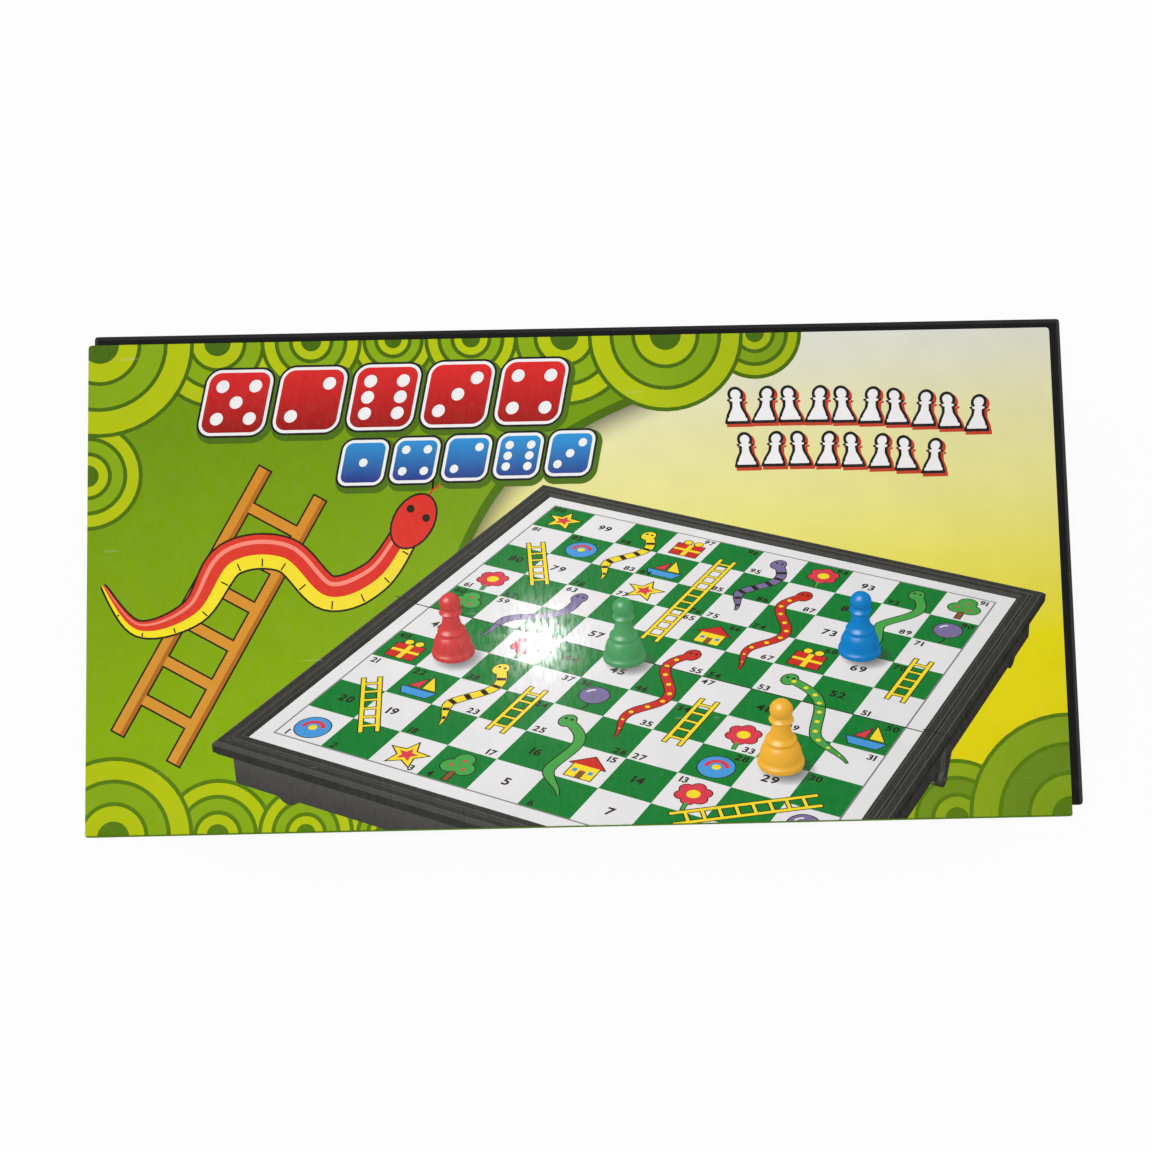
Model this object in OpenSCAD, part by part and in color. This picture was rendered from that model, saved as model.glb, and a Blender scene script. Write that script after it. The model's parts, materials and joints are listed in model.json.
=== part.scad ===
// Folding magnetic snakes and ladders board, closed as a case, under its printed front card.
// The case lies flat: X runs along the hinge, +Y points to the opening side, +Z is up.
// The lower half has its playing face down, the upper half has its playing face up,
// and the origin is on the surface it rests on, under the middle of everything.

/* [Case] */
// Length of the case along its hinge, over the rims
case_w = 250; // [200:1:320]
// Depth of the closed case, from the hinge plane to the far rim
case_d = 125; // [100:1:160]
// Height of one half
half_h = 20; // [18.5:0.5:30]
// Thickness of the moulded walls
wall_t = 2; // [1.4:0.1:3]
// Thickness of the moulded panel behind the playing face
panel_t = 1.8; // [1.4:0.1:3]
// Radius of the rim's upright corners
corner_r = 1; // [0.5:0.25:4]
// Radius of the walls' upright corners, outside
wall_corner_r = 3; // [2.2:0.25:6]

/* [Rim] */
// Width of the rim, from the playing sheet to its outer edge
rim_w = 10; // [9:0.25:14]
// How far the rim stands out past the walls
rim_out = 4.5; // [4.3:0.1:5.5]
// Height of the rim
rim_h = 6; // [5:0.25:8]

/* [Playing face] */
// Depth from the top of the rim to the playing sheet
sheet_recess = 1.2; // [0.8:0.1:2]
// Thickness of the printed playing sheet
sheet_t = 0.3; // [0.2:0.05:0.5]
// Thickness of the steel plate under the playing sheet
plate_t = 0.3; // [0.2:0.05:0.6]
// Gap between the playing sheet and the rim
sheet_clear = 0.15; // [0.1:0.05:0.5]
// How far the steel plate stays back from the edge of its sheet
plate_inset = 1; // [0.5:0.25:3]
// How far the playing sheet stays back from the seam
seam_inset = 0.35; // [0.2:0.05:1]

/* [Hinge] */
// Radius of the hinge knuckles
knuckle_r = 3.2; // [2.6:0.1:4]
// Radius of the hinge pins
pin_r = 1.2; // [0.8:0.05:1.6]
// Radial running clearance of a pin in the lower knuckle
pin_clear = 0.05; // [0.02:0.01:0.1]
// Thickness of the upper half's outer ears
ear_t = 1.7; // [1.4:0.05:1.8]
// Gap between a knuckle and what turns beside it
knuckle_clear = 0.3; // [0.2:0.05:0.5]
// How far a knuckle reaches in from the outer face of the wall
knuckle_in = 4; // [3:0.25:8]
// Gap between the seam faces of the two halves when the board lies open
seam_gap = 0.3; // [0.2:0.05:0.8]
// Gap between the wall edges of the two halves when the case is closed
parting_gap = 0.1; // [0.05:0.05:0.4]

/* [Closing tabs] */
// Radius of the half-round tabs on the wall edges
tab_r = 5; // [3:0.25:7]
// How far a tab stands up past its wall edge
tab_rise = 2.6; // [1.5:0.1:4]
// Distance of the tabs from the outside of the far corners
tab_in = 26; // [20:1:40]
// Gap round a tab in its notch
tab_clear = 0.3; // [0.2:0.05:0.6]

/* [Front card] */
// Length of the printed front card
card_w = 247; // [200:1:320]
// Depth of the printed front card
card_d = 124.8; // [100:0.1:160]
// Thickness of the front card
card_t = 0.8; // [0.8:0.1:1.5]
// Radius of the card's corners
card_r = 0.9; // [0.8:0.1:5]
// Radius of the card's rolled lower edge
card_edge_r = 0.7; // [0.2:0.05:0.8]
// How far the card lies off the case's middle along the hinge
card_shift_x = -2.2; // [-5:0.1:5]
// How far the card lies off the case's middle towards the opening side
card_shift_y = -2.7; // [-5:0.1:5]

/* [Playing pieces] */
// Height of a pawn above its magnet's lower face
pawn_h = 28; // [20:0.5:30]
// Radius of a pawn's foot
pawn_r = 8.75; // [7.75:0.25:10]
// Radius of the magnet in a pawn's foot
magnet_r = 6.5; // [4:0.25:7.5]
// Thickness of the magnet
magnet_t = 2; // [1:0.1:3]
// How far the magnet stands out under the pawn
magnet_out = 0.3; // [0.1:0.05:0.6]
// Edge length of the die
die_w = 12; // [8:0.5:16]
// Distance between neighbouring piece sockets
socket_pitch = 24; // [24:0.5:30]
// Height of the moulded socket rings
socket_h = 2.4; // [1.5:0.1:4]
// Thickness of the moulded socket rings
socket_t = 1.2; // [0.8:0.1:2]
// Gap between a piece and its socket
socket_clear = 0.35; // [0.2:0.05:0.8]

/* [Ribs] */
// Height of the stiffening ribs inside the panels
rib_h = 1.2; // [0.6:0.1:2]
// Thickness of the stiffening ribs
rib_t = 1.2; // [0.8:0.1:2]
// Number of ribs across each panel
ribs_across = 9; // [3:2:13]
// Number of ribs along each panel
ribs_along = 3; // [1:1:5]
// Radius of the round ejector marks between the ribs
ejector_r = 2.5; // [1.5:0.25:3.5]
// Depth of the ejector marks
ejector_depth = 0.2; // [0.1:0.05:0.4]

/* [Hidden] */

// One overrun serves every cut
over = 1;
round_fn = 48;
turned_fn = 72;

// Heights in one half, from its playing side at zero up into its cavity
sheet_z = sheet_recess;
plate_z = sheet_z + sheet_t;
panel_z = plate_z + plate_t;
floor_z = panel_z + panel_t;
wall_top = half_h - parting_gap / 2;

// Places in plan, measured from the middle of the case
far_y = case_d / 2;
axis_y = -case_d / 2;
seam_y = axis_y + seam_gap / 2;
wall_x = case_w / 2 - rim_out;
wall_far_y = far_y - rim_out;
sheet_x = case_w / 2 - rim_w - sheet_clear;
sheet_far_y = far_y - rim_w - sheet_clear;
axis_z = half_h;
inner_w = 2 * (wall_x - wall_t);
inner_d = wall_far_y - seam_y - 2 * wall_t;

// Places of the ejector marks, as shares of the cavity's length and depth
ejector_x_shares = [0.15, 0.35, 0.65, 0.85];
ejector_y_shares = [0.375, 0.875];

// The rim's section: shares of its width from the sheet, and of its height from its top
rim_shares = [
    [0.14, 0], [0.44, 0], [0.47, 0.12], [0.52, 0.12], [0.55, 0.07], [0.87, 0.07],
    [1, 0.26], [0.97, 0.83], [0.88, 0.83], [0.88, 1],
];
// Where the slope down to the sheet starts, as a share of the recess
rim_slope_share = 0.8;

// Hinge: the lower knuckle lies in the wall, the upper ear outboard of it,
// and the pin's head ends just inside the rim's outer face
pin_head_t = 0.5;
pin_head_r = 1.5 * pin_r;
edge_clear = 0.15;
bore_floor = 0.6;
knuckle_x0 = wall_x - knuckle_in;
knuckle_x1 = wall_x + rim_out - edge_clear - pin_head_t - ear_t - knuckle_clear;
ear_x0 = knuckle_x1 + knuckle_clear;
ear_x1 = ear_x0 + ear_t;
web_d = 2.6 * knuckle_r;

// The case and its card together are centred on the origin
card_x0 = card_shift_x - card_w / 2;
card_x1 = card_shift_x + card_w / 2;
card_y0 = card_shift_y - card_d / 2;
card_y1 = card_shift_y + card_d / 2;
origin_x = (min(card_x0, -case_w / 2) + max(card_x1, case_w / 2)) / 2;
origin_y = (min(card_y0, axis_y - knuckle_r) + max(card_y1, far_y)) / 2;

// Piece sockets: a row beside the hinge, pawns first and the die last
pawn_names = ["red", "green", "blue", "yellow"];
pawn_colours = [[0.80, 0.16, 0.14], [0.16, 0.55, 0.28], [0.02, 0.48, 0.78], [0.95, 0.66, 0.13]];
socket_gap = 1.5;
socket_r = pawn_r + socket_clear;
socket_x0 = -wall_x + wall_t + socket_gap + socket_t + socket_r;
socket_y = seam_y + wall_t + socket_gap + socket_t + socket_r;

// A pawn's turned outline: each bend is a start, a pull and an end,
// as shares of the foot's radius and of the pawn's height
pawn_bend_shares = [
    [[0.93, 0], [1, 0], [1, 0.03]],
    [[1, 0.055], [1, 0.09], [0.93, 0.095]],
    [[0.9, 0.105], [0.92, 0.27], [0.6, 0.365]],
    [[0.64, 0.37], [0.71, 0.395], [0.64, 0.42]],
    [[0.54, 0.435], [0.4, 0.54], [0.37, 0.675]],
    [[0.48, 0.685], [0.58, 0.7], [0.5, 0.725]],
];
pawn_head_share = 0.853;
pawn_head_flat_share = 0.94;
pawn_head_start = -48;
bend_steps = 6;
head_steps = 12;

// Dots of the die: places on a face as shares of its edge, one list for each count
pip_shares = [
    [[0, 0]],
    [[-1, -1], [1, 1]],
    [[-1, -1], [0, 0], [1, 1]],
    [[-1, -1], [-1, 1], [1, -1], [1, 1]],
    [[-1, -1], [-1, 1], [0, 0], [1, -1], [1, 1]],
    [[-1, -1], [-1, 0], [-1, 1], [1, -1], [1, 0], [1, 1]],
];
pip_place_share = 0.25;
pip_r_share = 0.1;
pip_depth_share = 0.04;
die_round_share = 0.72;

plastic = [0.12, 0.13, 0.12];
sheet_white = [0.92, 0.92, 0.91];
steel = [0.66, 0.67, 0.69];
magnet_grey = [0.2, 0.2, 0.21];
card_green = [0.5, 0.64, 0.12];

// Points along a bend from a to c, pulled towards b
function bend(a, b, c, steps) = [
    for (i = [0:steps]) let (t = i / steps) a * (1 - t) ^ 2 + 2 * b * t * (1 - t) + c * t ^ 2
];

// Whole case moved so that the origin is under its middle
module placed() {
    translate([-origin_x, -origin_y, 0]) children();
}

// The upper half is the lower one turned over about the parting plane
module turned_over() {
    translate([0, 0, 2 * half_h]) mirror([0, 0, 1]) children();
}

// Both ends of the case
module both_ends() {
    for (side = [0, 1]) mirror([side, 0, 0]) children();
}

// Rectangle from the seam side to the far side with rounded upright corners
module outline(half_w, near_y, end_y, near_r, end_r) {
    difference() {
        translate([-half_w, near_y]) square([2 * half_w, end_y - near_y]);
        for (side = [-1, 1]) {
            if (near_r > 0) corner_cut(side * half_w, near_y, side, -1, near_r);
            if (end_r > 0) corner_cut(side * half_w, end_y, side, 1, end_r);
        }
    }
}

// What a rounded corner takes off a square one
module corner_cut(x, y, way_x, way_y, r) {
    translate([x - way_x * r, y - way_y * r]) difference() {
        translate([way_x > 0 ? 0 : -r - over, way_y > 0 ? 0 : -r - over]) square(r + over);
        circle(r, $fn = round_fn);
    }
}

module rim_section() {
    polygon(concat(
        [[0, floor_z], [0, sheet_recess * rim_slope_share]],
        [for (p = rim_shares) [p[0] * rim_w, p[1] * rim_h]],
        [[rim_w - rim_out, rim_h], [rim_w - rim_out - wall_t, rim_h], [rim_w - rim_out - wall_t, floor_z]]
    ));
}

// Rim along one end, mitred at the far corner
module rim_end_run() {
    intersection() {
        translate([case_w / 2 - rim_w, far_y, 0]) rotate([90, 0, 0])
            linear_extrude(far_y - seam_y) rim_section();
        translate([0, 0, -over]) linear_extrude(rim_h + 2 * over) polygon([
            [case_w / 2 - rim_w - over, seam_y - over],
            [case_w / 2 + over, seam_y - over],
            [case_w / 2 + over, far_y + over],
            [case_w / 2 - rim_w - over, far_y - rim_w - over],
        ]);
    }
}

// Rim along the opening side, mitred at both corners
module rim_far_run() {
    intersection() {
        translate([-case_w / 2, far_y - rim_w, 0]) rotate([90, 0, 90]) linear_extrude(case_w) rim_section();
        translate([0, 0, -over]) linear_extrude(rim_h + 2 * over) polygon([
            [-case_w / 2 - over, far_y + over],
            [case_w / 2 + over, far_y + over],
            [case_w / 2 - rim_w - over, far_y - rim_w - over],
            [-case_w / 2 + rim_w + over, far_y - rim_w - over],
        ]);
    }
}

// Double-stepped rim on three sides of the playing face
module rim() {
    intersection() {
        union() {
            both_ends() rim_end_run();
            rim_far_run();
        }
        translate([0, 0, -over]) linear_extrude(rim_h + 2 * over)
            outline(case_w / 2, seam_y, far_y, corner_r, corner_r);
    }
}

// Panel behind the playing face, and the four walls round the cavity
module tub() {
    translate([0, 0, panel_z]) linear_extrude(panel_t)
        outline(wall_x, seam_y, wall_far_y, 0, wall_corner_r);
    translate([0, 0, panel_z]) linear_extrude(wall_top - panel_z) difference() {
        outline(wall_x, seam_y, wall_far_y, 0, wall_corner_r);
        outline(wall_x - wall_t, seam_y + wall_t, wall_far_y - wall_t, 0, wall_corner_r - wall_t);
    }
}

// Low stiffening ribs on the inside of the panel
module ribs() {
    translate([0, 0, floor_z]) {
        for (i = [1:ribs_across])
            translate([-inner_w / 2 + i * inner_w / (ribs_across + 1) - rib_t / 2, seam_y + wall_t, 0])
                cube([rib_t, inner_d, rib_h]);
        for (j = [1:ribs_along])
            translate([-inner_w / 2, seam_y + wall_t + j * inner_d / (ribs_along + 1) - rib_t / 2, 0])
                cube([inner_w, rib_t, rib_h]);
    }
}

// Round marks that the ejector pins leave in the inside of the panel
module ejector_marks() {
    for (x = ejector_x_shares, y = ejector_y_shares)
        translate([(x - 0.5) * inner_w, seam_y + wall_t + y * inner_d, floor_z - ejector_depth])
            cylinder(h = 2 * ejector_depth, r = ejector_r, $fn = round_fn);
}

// Middle of socket number n in the row
module at_socket(n) {
    translate([socket_x0 + n * socket_pitch, socket_y, floor_z]) children();
}

module socket_rings() {
    for (n = [0:len(pawn_names) - 1])
        at_socket(n) cylinder(h = socket_h, r = socket_r + socket_t, $fn = turned_fn);
    die_socket_w = die_w + 2 * socket_clear + 2 * socket_t;
    at_socket(len(pawn_names)) translate([-die_socket_w / 2, -die_socket_w / 2, 0])
        cube([die_socket_w, die_socket_w, socket_h]);
}

module socket_hollows() {
    for (n = [0:len(pawn_names) - 1])
        at_socket(n) cylinder(h = socket_h + over, r = socket_r, $fn = turned_fn);
    die_hollow_w = die_w + 2 * socket_clear;
    at_socket(len(pawn_names)) translate([-die_hollow_w / 2, -die_hollow_w / 2, 0])
        cube([die_hollow_w, die_hollow_w, socket_h + over]);
}

// Round disc across a wall, for the tabs and for the notches that take them
module wall_disc(r, thickness) {
    rotate([90, 0, 0]) translate([0, 0, -thickness / 2]) linear_extrude(thickness) circle(r, $fn = round_fn);
}

// Children at the two places in the opening side's wall
module at_far_tabs() {
    both_ends() translate([wall_x - tab_in, wall_far_y - wall_t / 2, 0]) children();
}

// Children at the two places in the end walls
module at_end_tabs() {
    both_ends() translate([wall_x - wall_t / 2, wall_far_y - tab_in, 0]) rotate([0, 0, 90]) children();
}

module tab() {
    translate([0, 0, wall_top - tab_r + tab_rise]) wall_disc(tab_r, wall_t);
}

// The notch is as deep as the tab that stands up out of the other half's wall
module tab_notch() {
    translate([0, 0, half_h + half_h - wall_top + tab_r - tab_rise])
        wall_disc(tab_r + tab_clear, wall_t + 2 * over);
}

// Round bar along the hinge axis
module axis_bar(r, x0, x1) {
    translate([x0, axis_y, axis_z]) rotate([0, 90, 0]) cylinder(h = x1 - x0, r = r, $fn = round_fn);
}

// Web up the outside of an end wall, from inside the rim to the hinge axis
module hinge_web(x0, x1) {
    translate([x0, 0, 0]) rotate([90, 0, 90]) linear_extrude(x1 - x0) polygon([
        [seam_y, floor_z],
        [seam_y + web_d, floor_z],
        [seam_y + web_d, rim_h + knuckle_r],
        [axis_y + knuckle_r, axis_z],
        [seam_y, axis_z],
    ]);
}

// Knuckle of the lower half: a barrel in the corner, on a web outside the wall
module lower_knuckle() {
    axis_bar(knuckle_r, knuckle_x0, knuckle_x1);
    hinge_web(wall_x - wall_t, knuckle_x1);
}

// Ear of the upper half, drawn as if that half were the lower one: its disc stands
// outboard of the lower knuckle, on a block that stays clear of the knuckle's sweep
module upper_ear() {
    block_top = axis_z - knuckle_r - 2 * knuckle_clear;
    axis_bar(knuckle_r, ear_x0, ear_x1);
    hinge_web(ear_x0, ear_x1);
    translate([wall_x - wall_t, 0, 0]) rotate([90, 0, 90]) linear_extrude(ear_x1 - wall_x + wall_t) polygon([
        [seam_y, floor_z],
        [seam_y + web_d, floor_z],
        [seam_y + web_d / 2, block_top],
        [seam_y, block_top],
    ]);
}

// Bore in which the pin turns, blind towards the cavity
module lower_bore() {
    axis_bar(pin_r + pin_clear, knuckle_x0 + bore_floor, ear_x1 + over);
}

// Bore in which the pin is pressed
module upper_bore() {
    axis_bar(pin_r, ear_x0 - over, ear_x1 + over);
}

// Room for the lower knuckle in the upper half's corner
module knuckle_room() {
    axis_bar(knuckle_r + knuckle_clear, knuckle_x0 - knuckle_clear, ear_x0);
}

module lower_shell() {
    color(plastic) placed() {
        difference() {
            union() {
                rim();
                tub();
                difference() {
                    ribs();
                    socket_hollows();
                }
                difference() {
                    socket_rings();
                    socket_hollows();
                }
                at_far_tabs() tab();
                both_ends() lower_knuckle();
            }
            at_end_tabs() tab_notch();
            ejector_marks();
            both_ends() lower_bore();
        }
    }
}

module upper_shell() {
    color(plastic) placed() turned_over() {
        difference() {
            union() {
                difference() {
                    union() {
                        rim();
                        tub();
                        ribs();
                        at_end_tabs() tab();
                    }
                    at_far_tabs() tab_notch();
                    ejector_marks();
                    both_ends() knuckle_room();
                }
                both_ends() upper_ear();
            }
            both_ends() upper_bore();
        }
    }
}

// Steel plate that the magnets hold to, under the sheet
module steel_plate() {
    color(steel) translate([0, 0, plate_z]) linear_extrude(plate_t)
        outline(sheet_x - plate_inset, seam_y + seam_inset + plate_inset, sheet_far_y - plate_inset, 0, 0);
}

module play_sheet() {
    color(sheet_white) translate([0, 0, sheet_z]) linear_extrude(sheet_t)
        outline(sheet_x, seam_y + seam_inset, sheet_far_y, 0, 0);
}

// Pin pressed into the upper ear, with a flat head outside
module hinge_pin() {
    color(steel) {
        axis_bar(pin_r, knuckle_x0 + bore_floor + knuckle_clear, ear_x1);
        axis_bar(pin_head_r, ear_x1, ear_x1 + pin_head_t);
    }
}

// Printed card that lies on the upper rim, with a rolled edge on the hinge side
module front_card() {
    color(card_green) placed() translate([0, 0, 2 * half_h]) intersection() {
        linear_extrude(card_t) translate([card_shift_x, card_shift_y])
            outline(card_w / 2, -card_d / 2, card_d / 2, card_r, card_r);
        translate([card_x0 - over, 0, 0]) rotate([90, 0, 90]) linear_extrude(card_w + 2 * over) {
            translate([card_y0 + card_edge_r, 0]) square([card_d - card_edge_r + over, card_t]);
            translate([card_y0, 0]) square([card_edge_r + over, card_t - card_edge_r]);
            translate([card_y0 + card_edge_r, card_t - card_edge_r]) circle(card_edge_r, $fn = round_fn);
        }
    }
}

function pawn_points() =
    let (
        tall = pawn_h - magnet_out,
        head_z = tall * pawn_head_share,
        head_r = tall - head_z,
        head_w = head_r / pawn_head_flat_share
    )
    concat(
        [[0, 0]],
        [for (b = pawn_bend_shares) for (p = bend(b[0], b[1], b[2], bend_steps)) [p[0] * pawn_r, p[1] * tall]],
        [for (i = [0:head_steps - 1]) let (a = pawn_head_start + (90 - pawn_head_start) * i / head_steps)
            [head_w * cos(a), head_z + head_r * sin(a)]],
        [[0, tall]]
    );

// Turned pawn with a pocket for its magnet
module pawn(n) {
    color(pawn_colours[n]) placed() at_socket(n) translate([0, 0, magnet_out]) difference() {
        rotate_extrude($fn = turned_fn) polygon(pawn_points());
        translate([0, 0, -over]) cylinder(h = over + magnet_t - magnet_out, r = magnet_r, $fn = turned_fn);
    }
}

module magnet(n) {
    color(magnet_grey) placed() at_socket(n) cylinder(h = magnet_t, r = magnet_r, $fn = turned_fn);
}

// Dots of one face, pressed into the top of the die
module pips(count) {
    for (p = pip_shares[count - 1])
        translate([p[0] * pip_place_share * die_w, p[1] * pip_place_share * die_w, die_w / 2])
            translate([0, 0, pip_rise()]) sphere(pip_sphere_r(), $fn = round_fn / 2);
}

// A shallow cap of a sphere, as wide and as deep as its shares say
function pip_sphere_r() =
    let (r = pip_r_share * die_w, d = pip_depth_share * die_w) (r ^ 2 + d ^ 2) / (2 * d);
function pip_rise() = pip_sphere_r() - pip_depth_share * die_w;

// Opposite faces add up to seven
module die() {
    color(sheet_white) placed() at_socket(len(pawn_names)) translate([0, 0, die_w / 2]) difference() {
        intersection() {
            cube(die_w, center = true);
            sphere(die_w * die_round_share, $fn = turned_fn);
        }
        pips(1);
        rotate([180, 0, 0]) pips(6);
        rotate([90, 0, 0]) pips(2);
        rotate([-90, 0, 0]) pips(5);
        rotate([0, 90, 0]) pips(3);
        rotate([0, -90, 0]) pips(4);
    }
}

lower_shell();
upper_shell();
placed() steel_plate();  // lower_steel_plate
placed() turned_over() steel_plate();  // upper_steel_plate
placed() play_sheet();  // lower_play_sheet
placed() turned_over() play_sheet();  // upper_play_sheet
placed() mirror([1, 0, 0]) hinge_pin();  // hinge_pin_left
placed() hinge_pin();  // hinge_pin_right
front_card();
pawn(0);  // pawn_red
pawn(1);  // pawn_green
pawn(2);  // pawn_blue
pawn(3);  // pawn_yellow
magnet(0);  // magnet_red
magnet(1);  // magnet_green
magnet(2);  // magnet_blue
magnet(3);  // magnet_yellow
die();
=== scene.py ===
# %% [markdown]
# # A folding snakes and ladders set, shut under its printed card
#
# The set is two black moulded half shells that are hinged along one long side and fold with their
# playing faces outwards, so that the pieces are shut up inside. A glossy printed card lies over the
# upper half and hides all but a narrow strip of its rim. Open, it is a square magnetic board.
#
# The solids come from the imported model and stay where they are. This script gives them their
# finishes, prints the card and the two playing faces, and sets up the studio.

import json
import math

import bmesh
import bpy
from mathutils import Euler, Matrix, Vector
from mathutils.geometry import delaunay_2d_cdt


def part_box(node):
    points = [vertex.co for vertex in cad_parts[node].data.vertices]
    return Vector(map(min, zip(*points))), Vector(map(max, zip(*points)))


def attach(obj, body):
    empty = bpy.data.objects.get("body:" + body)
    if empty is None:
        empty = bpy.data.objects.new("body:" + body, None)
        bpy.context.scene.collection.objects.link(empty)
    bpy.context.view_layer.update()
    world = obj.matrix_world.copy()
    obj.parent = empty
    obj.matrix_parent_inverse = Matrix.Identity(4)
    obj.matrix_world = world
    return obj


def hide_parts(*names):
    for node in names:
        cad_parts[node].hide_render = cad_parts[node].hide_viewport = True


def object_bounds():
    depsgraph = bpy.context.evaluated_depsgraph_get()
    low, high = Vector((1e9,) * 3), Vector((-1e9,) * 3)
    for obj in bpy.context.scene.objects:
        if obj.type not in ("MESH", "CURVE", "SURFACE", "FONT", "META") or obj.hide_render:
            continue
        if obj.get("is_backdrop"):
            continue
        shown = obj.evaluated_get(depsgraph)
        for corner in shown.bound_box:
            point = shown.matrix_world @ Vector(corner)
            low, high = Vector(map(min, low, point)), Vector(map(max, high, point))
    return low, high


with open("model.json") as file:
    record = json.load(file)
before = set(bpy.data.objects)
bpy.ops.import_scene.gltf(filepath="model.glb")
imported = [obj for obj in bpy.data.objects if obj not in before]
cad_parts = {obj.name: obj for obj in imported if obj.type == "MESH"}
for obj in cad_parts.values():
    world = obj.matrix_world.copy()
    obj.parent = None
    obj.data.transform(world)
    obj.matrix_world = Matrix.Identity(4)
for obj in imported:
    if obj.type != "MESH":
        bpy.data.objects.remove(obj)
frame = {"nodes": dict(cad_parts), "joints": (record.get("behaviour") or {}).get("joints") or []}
cad_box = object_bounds()
nodes = frame["nodes"]

# %% [markdown]
# ## Measures taken from the frame
#
# Everything that is printed lies on a solid, so its place is worked out from the solids' own boxes.
# Lengths are written in millimetres and multiplied by MM where Blender wants metres.

# %% Measures from the frame
MM = 0.001
card_low, card_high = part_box("front_card")
shell_low, shell_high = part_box("lower_shell")
upper_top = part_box("upper_shell")[1].z
fold = next(joint for joint in frame["joints"] if joint["name"] == "fold")
hinge_y = Vector(fold["pos_m"]).y

CARD_W = (card_high.x - card_low.x) / MM
CARD_D = (card_high.y - card_low.y) / MM
HALF_D = (shell_high.y - hinge_y) / MM
BOARD_W = (shell_high.x - shell_low.x) / MM
BOARD_D = 2 * HALF_D
print("card %.1f x %.1f mm, open board %.1f x %.1f mm" % (CARD_W, CARD_D, BOARD_W, BOARD_D))

# %% [markdown]
# ## The camera
#
# The photograph was taken by hand from almost straight above, a little below the middle. The four
# corners of the card and the edges of the black rim fix the camera: it stands 344 mm up, and its
# focal length is 1200 pixels of a picture that is 1152 pixels wide.

# %% Camera
PHOTO_PX, FOCAL_PX = 1152, 1200
SENSOR_MM = 36
CAMERA_MM = (-3.75, -21.5, 344.3)
CAMERA_TURN = (3.97, -0.32, -1.20)


def put(thing):
    """Puts a new camera, lamp or mesh into the scene, as an object of the same name."""
    piece = bpy.data.objects.new(thing.name, thing)
    bpy.context.scene.collection.objects.link(piece)
    return piece


lens = bpy.data.cameras.new("photo_camera")
lens.sensor_width = SENSOR_MM
lens.lens = SENSOR_MM * FOCAL_PX / PHOTO_PX
lens.clip_start = 0.01
camera = put(lens)
turn = Euler([math.radians(degrees) for degrees in CAMERA_TURN])
camera.matrix_world = Matrix.LocRotScale(Vector(CAMERA_MM) * MM, turn, None)
bpy.context.scene.camera = camera
print("camera lens %.1f mm" % lens.lens)

# %% [markdown]
# ## Writing finishes as sums
#
# A finish is a material whose nodes are added one by one. A Wire is one output of a node, and
# Python's own operators on it add Math nodes, so that a mask can be written as 1 - worn * 0.3.
# Colours never go through a Math node, which would turn them grey: they are mixed.

# %% Wires between nodes
class Wire:
    """One output of a finish's nodes. A sum written with it adds its Math nodes."""

    def __init__(self, finish, socket):
        self.finish, self.socket = finish, socket

    def __add__(self, other):
        return self.finish.sum("ADD", self, other)

    def __sub__(self, other):
        return self.finish.sum("SUBTRACT", self, other)

    def __rsub__(self, other):
        return self.finish.sum("SUBTRACT", other, self)

    def __mul__(self, other):
        return self.finish.sum("MULTIPLY", self, other)

    def __gt__(self, limit):
        return self.finish.sum("GREATER_THAN", self, limit)

    def __lt__(self, limit):
        return self.finish.sum("LESS_THAN", self, limit)

    __radd__ = __add__
    __rmul__ = __mul__


print("a wire can be added, subtracted, multiplied and compared")

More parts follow.
